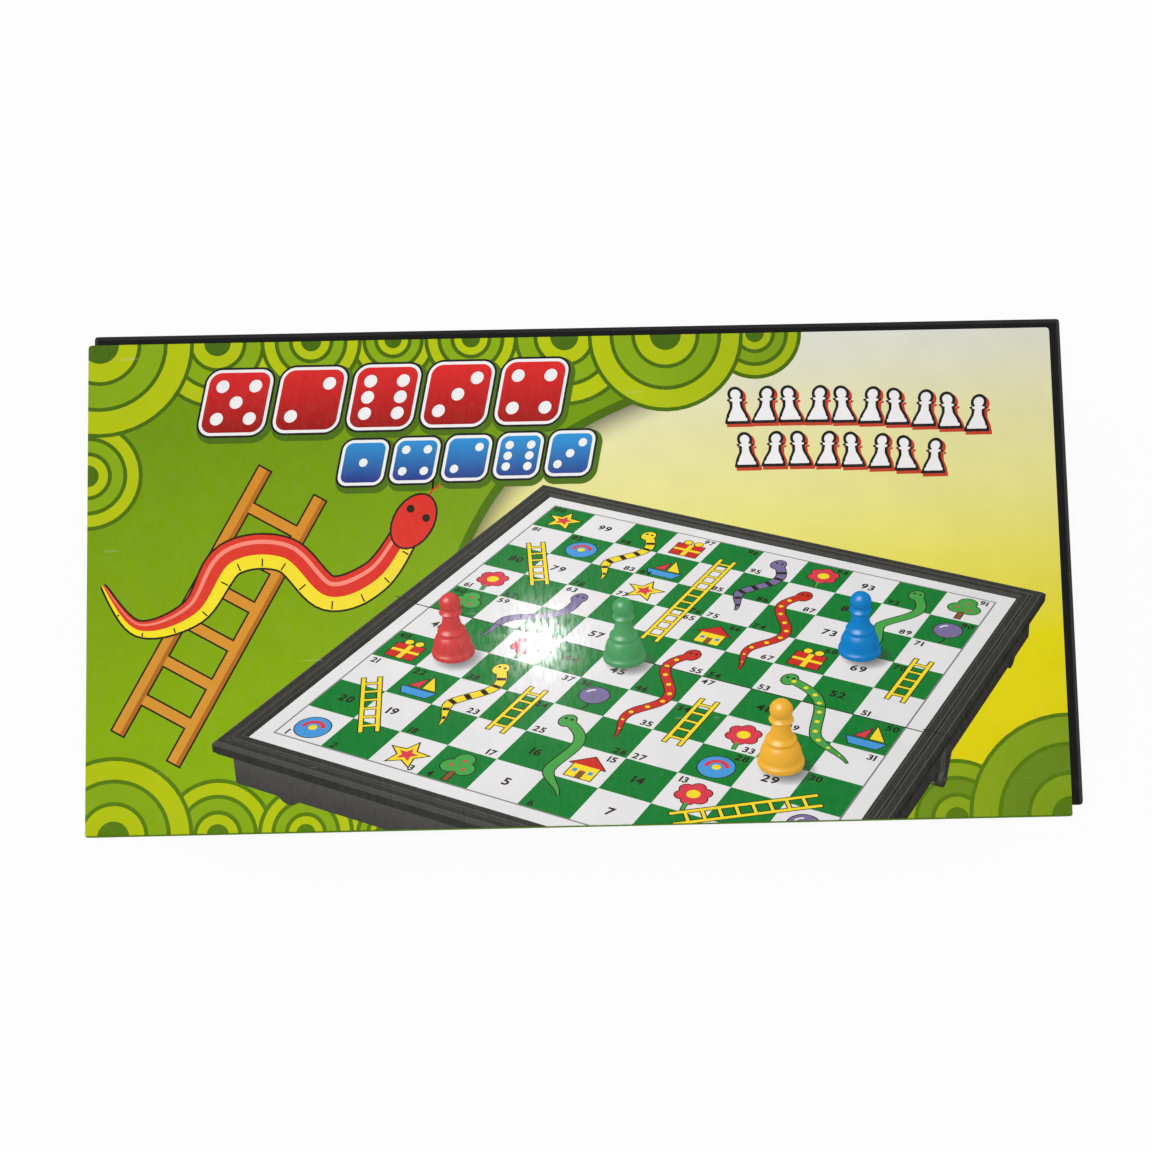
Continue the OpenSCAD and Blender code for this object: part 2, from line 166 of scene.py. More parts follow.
# %% Finishes
class Finish:
    """A material being mixed, or the world. Places are in metres, in the frame of the solids at rest."""

    def __init__(self, name, made=None):
        self.made = made or bpy.data.materials.new(name)
        self.made.use_nodes = True
        self.made.node_tree.nodes.clear()
        self.place = self.node("TexCoord", out="Object")

    def node(self, kind, settings=None, sockets=None, out=0):
        """Any node: its settings first, then values or wires into its sockets."""
        tree = self.made.node_tree
        node = tree.nodes.new("ShaderNode" + kind)
        for name, value in (settings or {}).items():
            if name == "stops":
                self.set_stops(node.color_ramp.elements, value)
            else:
                setattr(node, name, value)
        for name, value in (sockets or {}).items():
            if isinstance(value, Wire):
                tree.links.new(value.socket, node.inputs[name])
            else:
                node.inputs[name].default_value = value
        return Wire(self, node.outputs[out]) if node.outputs else None

    def set_stops(self, elements, stops):
        """Fills a ramp with its (position, colour) stops, two of which it has from the start."""
        while len(elements) < len(stops):
            elements.new(1)
        for element, (position, colour) in zip(elements, stops):
            element.position = position
            element.color = colour

    def sum(self, operation, a, b=0.0):
        return self.node("Math", {"operation": operation}, {0: a, 1: b})

    def highest(self, first, *others):
        for other in others:
            first = self.sum("MAXIMUM", first, other)
        return first

    def axis(self, name, place=None):
        return self.node("SeparateXYZ", {}, {0: place or self.place}, name)

    def mix(self, share, a, b):
        return self.node("Mix", {"data_type": "RGBA"}, {0: share, 6: a, 7: b}, 2)

    def span(self, value, low, high, start=0.0, end=1.0):
        """Start where value is low, end where it is high, and evenly between."""
        sockets = {"Value": value, 1: low, 2: high, 3: start, 4: end}
        return self.node("MapRange", {"clamp": True}, sockets)

    def noise(self, size_mm, detail=2.0, stretch=(1, 1, 1), seed=0.0):
        """Noise whose spots are about size_mm across."""
        sockets = {"Vector": self.place, "Location": (seed, seed, seed), "Scale": stretch}
        place = self.node("Mapping", {}, sockets)
        return self.node("TexNoise", {}, {"Vector": place, "Scale": 1 / (size_mm * MM), "Detail": detail})

    def bump(self, height, depth_mm, strength=1.0, round_mm=0.0):
        """Fine relief, with the rounding that a mould leaves on every edge."""
        sockets = {"Height": height, "Distance": depth_mm * MM, "Strength": strength}
        if round_mm:
            sockets["Normal"] = self.node("Bevel", {"samples": 6}, {"Radius": round_mm * MM})
        return self.node("Bump", {}, sockets)

    def surface(self, **look):
        """Ends the finish with a Principled shader and gives the material."""
        names = {name: name.replace("_", " ").title().replace("Ior", "IOR") for name in look}
        return self.end(self.node("BsdfPrincipled", {}, {names[name]: look[name] for name in look}))

    def end(self, shader, kind="OutputMaterial"):
        self.node(kind, {}, {"Surface": shader})
        return self.made


print("finishes are mixed by", Finish.__name__)

# %% Colours
def srgb(red, green, blue):
    """A colour as a screen shows it, 0 to 255, turned into the light values that shaders use."""
    shares = [value / 255 for value in (red, green, blue)]
    light = [share / 12.92 if share <= 0.04045 else ((share + 0.055) / 1.055) ** 2.4 for share in shares]
    return (*light, 1.0)


print("middle grey is", round(srgb(128, 128, 128)[0], 3), "as light")

# %% [markdown]
# ## Black moulded plastic
#
# The shells are black polystyrene out of a spark-eroded mould: a satin skin with a fine, even
# pebble, slightly softer at every edge. A few faint rub marks break up its sheen. Rounding is
# put in the shading, because a mould's edge radius is only about a quarter of a millimetre.

# %% Shell plastic
def shell_plastic():
    finish = Finish("black_shell_plastic")
    flow = finish.noise(22, detail=3, stretch=(0.4, 1, 1))
    rub = finish.noise(3.2, detail=5, stretch=(0.25, 1.6, 1)) > 0.66
    colour = finish.mix(flow, srgb(7, 9, 7), srgb(13, 15, 12))
    return finish.surface(
        base_color=finish.mix(rub * 0.2, colour, srgb(44, 46, 42)),
        roughness=0.38 + 0.10 * flow - 0.06 * rub, specular_ior_level=0.10,
        normal=finish.bump(finish.noise(0.28), 0.012, 0.5, round_mm=0.25))


def dress(material, *names):
    """Gives CAD nodes their finish; their meshes and places stay as they are."""
    for name in names:
        nodes[name].data.materials.clear()
        nodes[name].data.materials.append(material)
    print(material.name, "on", *names)


dress(shell_plastic(), "lower_shell", "upper_shell")

# %% [markdown]
# ## Metal inside the set
#
# Each half has a thin tinned steel plate under its playing sheet, which the magnets hold to. It was
# rolled, so it is streaked along its length. The hinge pins are drawn wire, polished by turning.
# The magnets in the pawns' feet are sintered ferrite: dark grey, grainy and chipped.

# %% Steel and ferrite
def rolled_tin():
    finish = Finish("rolled_tin_plate")
    streak = finish.noise(0.5, detail=4, stretch=(0.03, 1, 1))
    return finish.surface(
        base_color=finish.mix(finish.noise(6), srgb(168, 170, 173), srgb(196, 198, 200)),
        metallic=1.0, roughness=0.26 + 0.16 * streak, normal=finish.bump(streak, 0.004, 0.5))


def drawn_wire():
    finish = Finish("drawn_pin_wire")
    groove = finish.noise(0.12, stretch=(0.05, 1, 1))
    dull = finish.noise(1.5, detail=3)
    return finish.surface(
        base_color=finish.mix(dull, srgb(150, 150, 150), srgb(190, 189, 187)), metallic=1.0,
        roughness=0.22 + 0.2 * dull, normal=finish.bump(groove, 0.003, 0.6, round_mm=0.12))


def grey_ferrite():
    finish = Finish("sintered_ferrite")
    grain = finish.noise(0.25, detail=5)
    chip = finish.noise(1.1, detail=4) > 0.64
    return finish.surface(
        base_color=finish.mix(grain, srgb(44, 44, 47), srgb(74, 74, 78)), metallic=0.25,
        roughness=0.55 + 0.2 * chip, normal=finish.bump(grain + chip * -0.8, 0.03, 0.7, round_mm=0.15))


PAWN_INKS = {
    "red": srgb(205, 58, 56),
    "green": srgb(66, 150, 88),
    "blue": srgb(0, 125, 197),
    "yellow": srgb(238, 176, 52),
}
dress(rolled_tin(), "lower_steel_plate", "upper_steel_plate")
dress(drawn_wire(), "hinge_pin_left", "hinge_pin_right")
dress(grey_ferrite(), *["magnet_" + name for name in PAWN_INKS])

# %% [markdown]
# ## Pawns and die
#
# The pawns are glossy polystyrene with a moulding line up each side, and light goes a little way
# into them. The die is ivory plastic with black paint in its dots: paint is wherever the skin lies
# below the flat face, apart from the rounded corners, which are further from the middle.

# %% Plastic of the pawns and the die
def pawn_plastic(name, colour):
    finish = Finish("pawn_plastic_" + name)
    low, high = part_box("pawn_" + name)
    away = finish.sum("ABSOLUTE", finish.axis("Y") - (low.y + high.y) / 2)
    line = 1 - finish.span(away, 0.02 * MM, 0.12 * MM)
    deep = (*(0.72 * part for part in colour[:3]), 1.0)
    handling = finish.noise(1.3, detail=4)
    return finish.surface(
        base_color=finish.mix(finish.noise(5, detail=3), deep, colour),
        roughness=0.16 + 0.14 * handling, normal=finish.bump(line + 0.15 * handling, 0.05, 0.6),
        subsurface_weight=0.12, subsurface_radius=(0.002, 0.002, 0.002), ior=1.5)


def die_plastic():
    finish = Finish("ivory_die_plastic")
    low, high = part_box("die")
    half = (high.x - low.x) / 2
    way = finish.node("VectorMath", {"operation": "SUBTRACT"}, {0: finish.place, 1: (low + high) / 2})
    apart = finish.node("VectorMath", {"operation": "ABSOLUTE"}, {0: way})
    far = finish.node("VectorMath", {"operation": "LENGTH"}, {0: way}, "Value")
    out = finish.highest(*[finish.axis(name, apart) for name in "XYZ"])
    dot = (out < half - 0.03 * MM) * (far < half * 1.4)
    cloud = finish.noise(4, detail=3)
    ivory = finish.mix(cloud, srgb(238, 233, 218), srgb(246, 243, 233))
    return finish.surface(
        base_color=finish.mix(dot, ivory, srgb(22, 22, 24)), roughness=0.24 + 0.2 * dot,
        normal=finish.bump(cloud, 0.03, 0.4, round_mm=0.3))


for name, colour in PAWN_INKS.items():
    dress(pawn_plastic(name, colour), "pawn_" + name)
dress(die_plastic(), "die")

# %% [markdown]
# ## Printing ink as thin shapes
#
# A print could be a picture wrapped on the card, but then it would blur close up. Here each colour
# is its own thin flat shape, laid a few thousandths of a millimetre over the one before, the way
# that ink is. First come the outlines in flat millimetres: each shape is a list of points and the
# faces between them.

# %% Flat shapes
ARC_STEP = math.radians(7.5)


def closed(points):
    """A closed outline."""
    return [tuple(p) for p in points], [tuple(range(len(points)))]


def box(x0, y0, x1, y1):
    return [(x0, y0), (x1, y0), (x1, y1), (x0, y1)]


def between(left, right):
    """The strip between two lines that have as many points as each other."""
    count = len(left)
    faces = [(i, i + 1, count + i + 1, count + i) for i in range(count - 1)]
    return [tuple(p) for p in (*left, *right)], faces


def around(middle, radius, angle, squash=1.0):
    """The point at an angle and a distance from the middle."""
    return middle[0] + radius * math.cos(angle), middle[1] + squash * radius * math.sin(angle)


def arc(middle, radius, start=0, end=360, squash=1.0):
    """Points on an arc, from one angle to the other in degrees."""
    low, high = math.radians(start), math.radians(end)
    steps = max(3, math.ceil(abs(high - low) / ARC_STEP))
    return [around(middle, radius, low + (high - low) * i / steps, squash) for i in range(steps + 1)]


def disc(middle, radius, squash=1.0):
    return closed(arc(middle, radius, squash=squash)[:-1])


def ring(middle, inner, outer, start=0, end=360):
    return between(arc(middle, inner, start, end), arc(middle, outer, start, end))


print("an arc of a full turn has", len(arc((0, 0), 1)), "points")

# %% Lines and strips
def bend(p, q, r, s, t):
    """A place between q and r, at a share t of the way, on a curve that also goes through p and s."""
    return 0.5 * (2 * q + (r - p) * t + (2 * p - 5 * q + 4 * r - s) * t ** 2
                  + (3 * q - p - 3 * r + s) * t ** 3)


def smooth(points, steps=8):
    """A curve through the points, bending evenly at each."""
    ends = [points[0], *points, points[-1]]
    line = []
    for four in zip(ends, ends[1:], ends[2:], ends[3:]):
        line += [tuple(bend(*parts, i / steps) for parts in zip(*four)) for i in range(steps)]
    return line + [tuple(points[-1])]


def beside(line, offset):
    """The line moved to its left by an offset, which is one number or one for each point."""
    offsets = offset if isinstance(offset, list) else [offset] * len(line)
    aside = []
    for i, (x, y) in enumerate(line):
        ahead = line[min(i + 1, len(line) - 1)]
        behind = line[max(i - 1, 0)]
        run, rise = ahead[0] - behind[0], ahead[1] - behind[1]
        length = math.hypot(run, rise)
        aside.append((x - rise / length * offsets[i], y + run / length * offsets[i]))
    return aside


def along(line, share):
    """The point at a share of the way along a straight line."""
    return tuple(a + (b - a) * share for a, b in zip(*line))


def stroke(line, half):
    """A line with a width, square at its ends; half is one half width or one for each point."""
    other = [-part for part in half] if isinstance(half, list) else -half
    return between(beside(line, half), beside(line, other))


def moved(shape, shift=(0, 0), lean=0.0, size=1.0):
    """A shape made larger, leaned over to the right and moved."""
    points, faces = shape
    return [(shift[0] + size * (x + lean * y), shift[1] + size * y) for x, y in points], faces


print("a curve through three points has", len(smooth([(0, 0), (1, 1), (2, 0)])), "points")

# %% [markdown]
# ## Printed faces
#
# Three surfaces carry print: the card and the outer faces of the two halves. On each, right is +X
# and up is +Y or -Y, and ink is trimmed at its edges. The card's lower edge rolls over, as its
# paper is folded round the board there, so ink that reaches it follows the roll.

# %% Printed faces
INK = 0.005 * MM
INK_LEVELS = 24
CARD_CORNER = 0.9
CORNER_CUTS = [math.radians(15 * step) for step in range(1, 6)]
ROLL = 0.7
ROLL_STEPS = 6


class PrintedFace:
    """A face that takes ink: its lower left corner, which way is up on it, and where it ends."""

    def __init__(self, body, slot, corner, way, x_ends, y_ends):
        self.body, self.slot = body, slot
        self.corner, self.way = Vector(corner), way
        self.trims = [((x_ends[0], 0), (-1, 0)), ((x_ends[1], 0), (1, 0)),
                      ((0, y_ends[0]), (0, -1)), ((0, y_ends[1]), (0, 1))]
        self.folds = []

    def spot(self, x, y, height):
        return self.corner + Vector((x * MM, self.way * y * MM, self.way * height))


class CardFace(PrintedFace):
    """The front card's face, which rolls over along its lower edge and has rounded corners."""

    def __init__(self):
        self.board_top = card_high.z - INK_LEVELS * INK
        self.roll_r = ROLL * MM - INK_LEVELS * INK
        turn_mm = self.roll_r / MM * math.pi / 2
        self.foot = ROLL - turn_mm
        corner = (card_low.x, card_low.y, self.board_top)
        super().__init__("card", "card", corner, 1, (0, CARD_W), (self.foot, CARD_D))
        for x, y in ((0, 0), (0, 1), (1, 0), (1, 1)):
            middle = (abs(x * CARD_W - CARD_CORNER), abs(y * CARD_D - CARD_CORNER))
            for angle in CORNER_CUTS:
                way = (math.cos(angle) * (2 * x - 1), math.sin(angle) * (2 * y - 1))
                edge = tuple(start + CARD_CORNER * part for start, part in zip(middle, way))
                self.trims.append((edge, way))
        self.folds = [ROLL - turn_mm * step / ROLL_STEPS for step in range(ROLL_STEPS)]

    def spot(self, x, y, height):
        if y >= ROLL:
            return super().spot(x, y, height)
        angle = (ROLL - y) * MM / self.roll_r
        radius = self.roll_r + height
        across = card_low.y + ROLL * MM - radius * math.sin(angle)
        return Vector((card_low.x + x * MM, across, self.board_top - self.roll_r + radius * math.cos(angle)))


card_face = CardFace()
print("the card rolls over below", ROLL, "mm, its face ends at %.2f mm" % card_face.foot)

# %% [markdown]
# Ink is laid in three steps. All shapes in one ink are joined into a single flat sheet, so that no
# two faces lie in the same place, which a renderer shows as black specks. The sheet is cut along
# the face's trims and folds, and then it is lifted on to the face.

# %% A flat sheet of ink
JOIN_MM = 1e-4
CUT_MM = 1e-6


def turned_left(points, face):
    """A face's corners, so that they run anticlockwise."""
    corners = [points[i] for i in face]
    area = sum(a[0] * b[1] - b[0] * a[1] for a, b in zip(corners, corners[1:] + corners[:1]))
    return face if area > 0 else face[::-1]


def flat_mesh(shapes, through=None, join=True):
    """The shapes as one flat sheet, seen through a view if one is given; join does away with overlaps."""
    spots, faces = [], []
    for points, shape_faces in shapes:
        start = len(spots)
        flat = [through(x, y) if through else (x, y) for x, y in points]
        spots += [Vector(point) for point in flat]
        faces += [[start + i for i in turned_left(flat, face)] for face in shape_faces]
    if join:
        spots, _, faces, _, _, owners = delaunay_2d_cdt(spots, [], faces, 1, JOIN_MM)
        faces = [face for face, owner in zip(faces, owners) if owner]
    drawn = bmesh.new()
    placed = [drawn.verts.new((*spot, 0)) for spot in spots]
    for face in faces:
        drawn.faces.new([placed[i] for i in face])
    bmesh.ops.delete(drawn, geom=[v for v in drawn.verts if not v.link_faces], context="VERTS")
    return drawn


def cut(drawn, place, way, trim):
    """Cuts the flat mesh along a line that it reaches past; trim takes off what lies beyond."""
    reach = [(v.co.x - place[0]) * way[0] + (v.co.y - place[1]) * way[1] for v in drawn.verts]
    if max(reach, default=0) > 0:
        geometry = drawn.verts[:] + drawn.edges[:] + drawn.faces[:]
        bmesh.ops.bisect_plane(
            drawn, geom=geometry, dist=CUT_MM, plane_co=(*place, 0), plane_no=(*way, 0), clear_outer=trim)


print("points nearer than", JOIN_MM, "mm are joined")

# %% Laying ink
def fit_to_face(drawn, face, level):
    """Trims flat print to its face, folds it and lifts it there; its own z adds to its height."""
    for place, way in face.trims:
        cut(drawn, place, way, True)
    for fold_y in face.folds:
        cut(drawn, (0, fold_y), (0, -1), False)
    for spot in drawn.verts:
        spot.co = face.spot(spot.co.x, spot.co.y, level * INK + spot.co.z)


def piece_from(name, drawn, materials):
    """Turns a finished mesh into a piece in the scene."""
    mesh = bpy.data.meshes.new(name)
    drawn.to_mesh(mesh)
    drawn.free()
    for material in materials:
        mesh.materials.append(material)
    print("%s: %d faces" % (name, len(mesh.polygons)))
    return put(mesh)


def keep(name, drawn, materials, face):
    """Turns a finished mesh into a piece that rides with the face that it lies on."""
    piece = piece_from(name, drawn, materials)
    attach(piece, face.body)
    return piece


print("flat print rides with the face that it is laid on")

# %% A drawing in several inks
class Drawing:
    """Shapes sorted by the ink that they are printed in."""

    def __init__(self):
        self.inks = {}

    def add(self, ink_name, *shapes):
        self.inks.setdefault(ink_name, []).extend(shapes)

    def lay(self, name, levels, face=card_face, through=None, base=0):
        """Prints the drawing as one piece; levels gives each ink's level and material.
        Numbers are flat faces that lie clear of each other, so they aren't joined."""
        whole, materials = bmesh.new(), []
        for ink_name, shapes in self.inks.items():
            level, material = levels[ink_name]
            drawn = flat_mesh(shapes, through, join=ink_name != "number")
            fit_to_face(drawn, face, base + level)
            if material not in materials:
                materials.append(material)
            for printed in drawn.faces:
                printed.material_index = materials.index(material)
            layer = bpy.data.meshes.new("layer")
            drawn.to_mesh(layer)
            drawn.free()
            whole.from_mesh(layer)
            bpy.data.meshes.remove(layer)
        return keep(name, whole, materials, face)


print("ink lies in levels of", INK / MM, "mm")

# %% [markdown]
# ## The card's gloss
#
# Every ink on the card lies under the same film, so all of them share one way to finish a colour:
# a slight cloudiness of the print, a waviness of the film that breaks up a reflection, faint
# smears, and a few short light scuffs from other boxes. The film is a clear coat.

# %% Gloss film
def gloss_film(finish, colour):
    """Finishes a printed colour with the card's gloss film."""
    smear = finish.noise(14, detail=3, stretch=(1, 0.35, 1), seed=3.0)
    scuff = finish.noise(2.4, detail=3, stretch=(0.18, 1.7, 1), seed=7.0) > 0.75
    tone = finish.span(finish.noise(9, detail=4), 0.3, 0.7, 0.97, 1.03)
    toned = finish.node("VectorMath", {"operation": "SCALE"}, {0: colour, "Scale": tone})
    ripple = finish.noise(1.2, detail=3, stretch=(1.5, 0.5, 1), seed=5.0)
    return finish.surface(
        base_color=finish.mix(scuff * 0.10, toned, srgb(225, 228, 200)),
        roughness=0.30 + 0.16 * smear + 0.10 * scuff, specular_ior_level=0.05,
        normal=finish.bump(0.3 * finish.noise(0.35) + ripple, 0.014, 0.8),
        coat_weight=finish.span(ripple, 0.36, 0.62, 0.06, 0.30), coat_roughness=0.13)


def ink(name, colour, other=None, axis="Y", low=0, high=1):
    """An ink of one colour, or one that turns from colour to other between two places on the card."""
    finish = Finish(name + "_ink")
    if other is None:
        return gloss_film(finish, srgb(*colour)[:3])
    start = card_low.x if axis == "X" else card_low.y
    share = finish.span(finish.axis(axis), start + low * MM, start + high * MM)
    return gloss_film(finish, finish.mix(share, srgb(*colour), srgb(*other)))


near_black = ink("near_black", (36, 30, 16))
print("first ink under the film:", near_black.name)

# %% [markdown]
# ## The card itself
#
# The card is greyboard with printed paper drawn over it. Its face is one sheet with the roll along
# the lower edge; the sides and the back close it. The face's own ink is the yellow ground, which
# pales towards the top right corner, as the print does.

# %% Card ground and greyboard
GROUND_STOPS = [
    (0.0, srgb(226, 210, 0)),
    (0.36, srgb(228, 215, 2)),
    (0.54, srgb(230, 221, 98)),
    (0.66, srgb(230, 224, 136)),
    (0.82, srgb(228, 223, 166)),
    (1.0, srgb(222, 222, 212)),
]


def yellow_ground():
    finish = Finish("card_yellow_ground")
    rise = finish.span(finish.axis("Y"), card_low.y, card_high.y)
    run = finish.span(finish.axis("X"), card_low.x, card_high.x)
    share = finish.span(rise - 0.10 * run, -0.1, 0.92)
    return gloss_film(finish, finish.node("ValToRGB", {"stops": GROUND_STOPS}, {0: share}, "Color"))


def greyboard():
    """Recycled board: grey-brown, with flecks and short fibres, and quite dull."""
    finish = Finish("card_greyboard")
    fibre = finish.noise(0.5, detail=5, stretch=(0.3, 1, 1))
    fleck = finish.noise(0.9, detail=3, seed=2.0) > 0.68
    colour = finish.mix(fibre, srgb(158, 153, 142), srgb(186, 181, 169))
    return finish.surface(
        base_color=finish.mix(fleck * 0.5, colour, srgb(104, 98, 90)), roughness=0.82,
        normal=finish.bump(fibre, 0.03, 0.6))


print("the ground has", len(GROUND_STOPS), "colours from its foot to its top corner")

# %% The card's board
def card_board():
    """The card's solid: a face with its roll, side walls and a back."""
    drawn = flat_mesh([closed(box(0, card_face.foot, CARD_W, CARD_D))])
    fit_to_face(drawn, card_face, 0)
    rim = [edge for edge in drawn.edges if edge.is_boundary]
    for item in bmesh.ops.extrude_edge_only(drawn, edges=rim)["geom"]:
        if isinstance(item, bmesh.types.BMVert):
            item.co.z = card_low.z
    bmesh.ops.holes_fill(drawn, edges=[edge for edge in drawn.edges if edge.is_boundary])
    bmesh.ops.triangulate(drawn, faces=[face for face in drawn.faces if len(face.verts) > 4])
    bmesh.ops.recalc_face_normals(drawn, faces=drawn.faces[:])
    for face in drawn.faces:
        low = min(spot.co.z for spot in face.verts)
        face.material_index = 1 if low < card_low.z + INK else 0
    return drawn


card_piece = keep("front_card_board", card_board(), [yellow_ground(), greyboard()], card_face)
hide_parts("front_card")

# %% [markdown]
# ## The card's drawing
#
# The card shows a green garden on the left and a sunny ground on the right. Its motifs are plain
# ones: fans of rings, a wooden ladder, a snake in two colours, dice and little pawns. Each is a
# function that sorts its shapes by ink, and darker outlines lie a level below their fills.
#
# Some print changes its shade from point to point. Its mesh stores a colour at every point, as an
# attribute, and one ink reads that. A second ink is a soft shadow, which takes the attribute as
# its alpha and so fades out.

# %% Shaded print
TONE = "tone"


def tone_ink():
    finish = Finish("picture_tone_ink")
    return gloss_film(finish, finish.node("Attribute", {"attribute_name": TONE}, out="Color"))


def fading_ink():
    finish = Finish("picture_shadow_ink")
    fade = finish.node("Attribute", {"attribute_name": TONE}, out="Fac")
    return finish.surface(base_color=srgb(24, 30, 20), roughness=0.4, alpha=fade)


def lay_toned(name, faces, level, material):
    """Prints faces on the card, each a list of points that carry their height and colour."""
    drawn = bmesh.new()
    tones = drawn.verts.layers.float_color.new(TONE)
    for face in faces:
        spots = [drawn.verts.new(place) for place, tone in face]
        for spot, (place, tone) in zip(spots, face):
            spot[tones] = (*tone, 1)
        drawn.faces.new(spots)
    fit_to_face(drawn, card_face, level)
    return keep(name, drawn, [material], card_face)


def toned_strip(near, near_tone, far, far_tone, step=1):
    """Flat faces between two lines, each with its grey; at a point where far stands still, triangles."""
    faces = []
    for i in range(0, len(near) - step, step):
        corners = [(near[i], near_tone), (near[i + step], near_tone), (far[i + step], far_tone)]
        if far[i] != far[i + step]:
            corners.append((far[i], far_tone))
        faces.append([((*place, 0), [tone] * 3) for place, tone in corners])
    return faces


tone_print, fading = tone_ink(), fading_ink()
print("shaded inks:", tone_print.name, fading.name)

# %% [markdown]
# The garden is a green field with a soft S for its right side, which throws a soft shadow on the
# sunny ground. Its fans hang from the upper edge and stand on the lower one. Neighbouring fans
# overlap, so they are printed in two rows. A thin dark green hem runs along the lower edge, on top
# of all else, where the paper rolls round the board: green print, darkened as a painted shade of the roll.

# %% Field
BLEED = 1
FIELD_SIDE = [(156, 126), (146, 112), (128, 103), (110, 92), (98, 76), (88, 52), (80, 26), (76, -1)]
SHADE_W, SHADE_DARK, SHADE_STEPS = 7.5, 0.62, 5
field_line = smooth(FIELD_SIDE)


def shade_line(step):
    """The field's side, moved out by some steps of the shadow, and how dark the shadow is there."""
    share = step / SHADE_STEPS
    return beside(field_line, SHADE_W * share), SHADE_DARK * (1 - share) ** 1.6


green_ink = ink("green_field", (136, 173, 0), (112, 149, 2), "Y", 20, 100)
line_ink = ink("deep_green", (86, 122, 2), (70, 104, 0), "Y", 10, 110)
garden = Drawing()
garden.add("field", closed([(-BLEED, -2 * BLEED), *reversed(field_line), (-BLEED, FIELD_SIDE[0][1])]))
garden.add("side", stroke(field_line, 1.1))
garden.lay("card_garden", {"field": (1, green_ink), "side": (2, line_ink)})
shadow = []
for step in range(SHADE_STEPS):
    shadow += toned_strip(*shade_line(step), *shade_line(step + 1))
lay_toned("garden_shade", shadow, 1, fading)

# %% Fans and hem
BACK_FANS = [(33, 124.8, 17), (78, 124.8, 11), (122, 124.8, 18), (171, 124.8, 12), (0, 91, 14),
             (33, 0, 14), (74, 0, 9), (218, 0, 15)]
FRONT_FANS = [(3, 124.8, 24), (57, 124.8, 13), (98, 124.8, 12), (148, 124.8, 20), (7, 0, 20),
              (55, 0, 12), (247, 0, 26)]
FAN_SHARES = [(1.0, 0.72, "light"), (0.72, 0.44, "deep"), (0.44, 0.2, "light")]
FAN_LINE = 1.0
HEM, HEM_LEVEL = 0.5, 22
fan_light = ink("fan_light", (180, 194, 2), (128, 158, 18), "X", 130, 240)
fan_deep = ink("fan_deep", (134, 168, 10), (102, 134, 20), "X", 130, 240)


def lay_fans(name, places, level):
    """Prints a row of fans, each given by its middle and its radius."""
    drawing = Drawing()
    for x, y, radius in places:
        for outer, inner, fill in FAN_SHARES:
            drawing.add("line", ring((x, y), radius * outer - FAN_LINE, radius * outer))
            drawing.add(fill, ring((x, y), radius * inner, radius * outer - FAN_LINE))
        drawing.add("line", disc((x, y), radius * FAN_SHARES[-1][1]))
    drawing.lay(name, {"line": (level, line_ink), "light": (level, fan_light), "deep": (level, fan_deep)})


lay_fans("fans_back", BACK_FANS, 3)
lay_fans("fans_front", FRONT_FANS, 4)
# The hem is green print along the roll, laid darker as a painted shade of the rolled edge.
hem_ends = -BLEED, CARD_W + BLEED
hem = Drawing()
hem.add("hem", between([(x, card_face.foot - BLEED) for x in hem_ends], [(x, HEM) for x in hem_ends]))
hem.lay("card_hem_and_roll_shade", {"hem": (HEM_LEVEL, line_ink)})

# %% [markdown]
# Ladders come in two sizes, large on the card and small on the board, so a ladder is drawn from a
# few measures. Its rungs are narrower than its rails, and each rail is darker along one side.

# %% Ladder
RUNG_SHARE, SHADE_SHARE = 0.8, 0.35


def ladder(drawing, foot, top, gap, rail, rung_step, edge, names=("edge", "wood", "shade")):
    """Two rails from foot to top with rungs between them; rail is half a rail's width."""
    length = math.dist(foot, top)
    rails = [beside([foot, top], side) for side in (gap / 2, -gap / 2)]
    steps = int((length - 1.5 * rail) // rung_step)
    for number in range(steps):
        up = (length - (steps - 1) * rung_step) / 2 + number * rung_step
        rung = [along(line, up / length) for line in rails]
        drawing.add(names[0], stroke(rung, RUNG_SHARE * rail + edge))
        drawing.add(names[1], stroke(rung, RUNG_SHARE * rail))
    for line in rails:
        longer = [along(line, -edge / length), along(line, 1 + edge / length)]
        drawing.add(names[0], stroke(longer, rail + edge))
        drawing.add(names[1], stroke(line, rail))
        drawing.add(names[2], between(beside(line, -rail), beside(line, -SHADE_SHARE * rail)))


wood_ink = ink("wood", (216, 150, 52), (212, 138, 40), "Y", 20, 90)
wood_shade = ink("wood_shade", (178, 106, 30))
card_ladder = Drawing()
ladder(card_ladder, (15, 22), (52, 88), gap=16, rail=1.6, rung_step=11, edge=0.45)
card_ladder.lay("card_ladder", {"edge": (5, near_black), "wood": (6, wood_ink), "shade": (7, wood_shade)})

# %% [markdown]
# The card's snake is a curve with a width that grows from its tail. It is split along its length
# into a red back and a yellow belly with ticks across it, and it has a plain rounded head, seen
# from above. All its parts are measured in half widths, so that it keeps its looks at any size.

# %% The snake's body
CARD_SNAKE = [(4, 63), (13, 52), (27, 56), (36, 69), (50, 70), (61, 60), (73, 64), (81, 75)]
SNAKE_HALF, SNAKE_EDGE = 4.2, 0.5


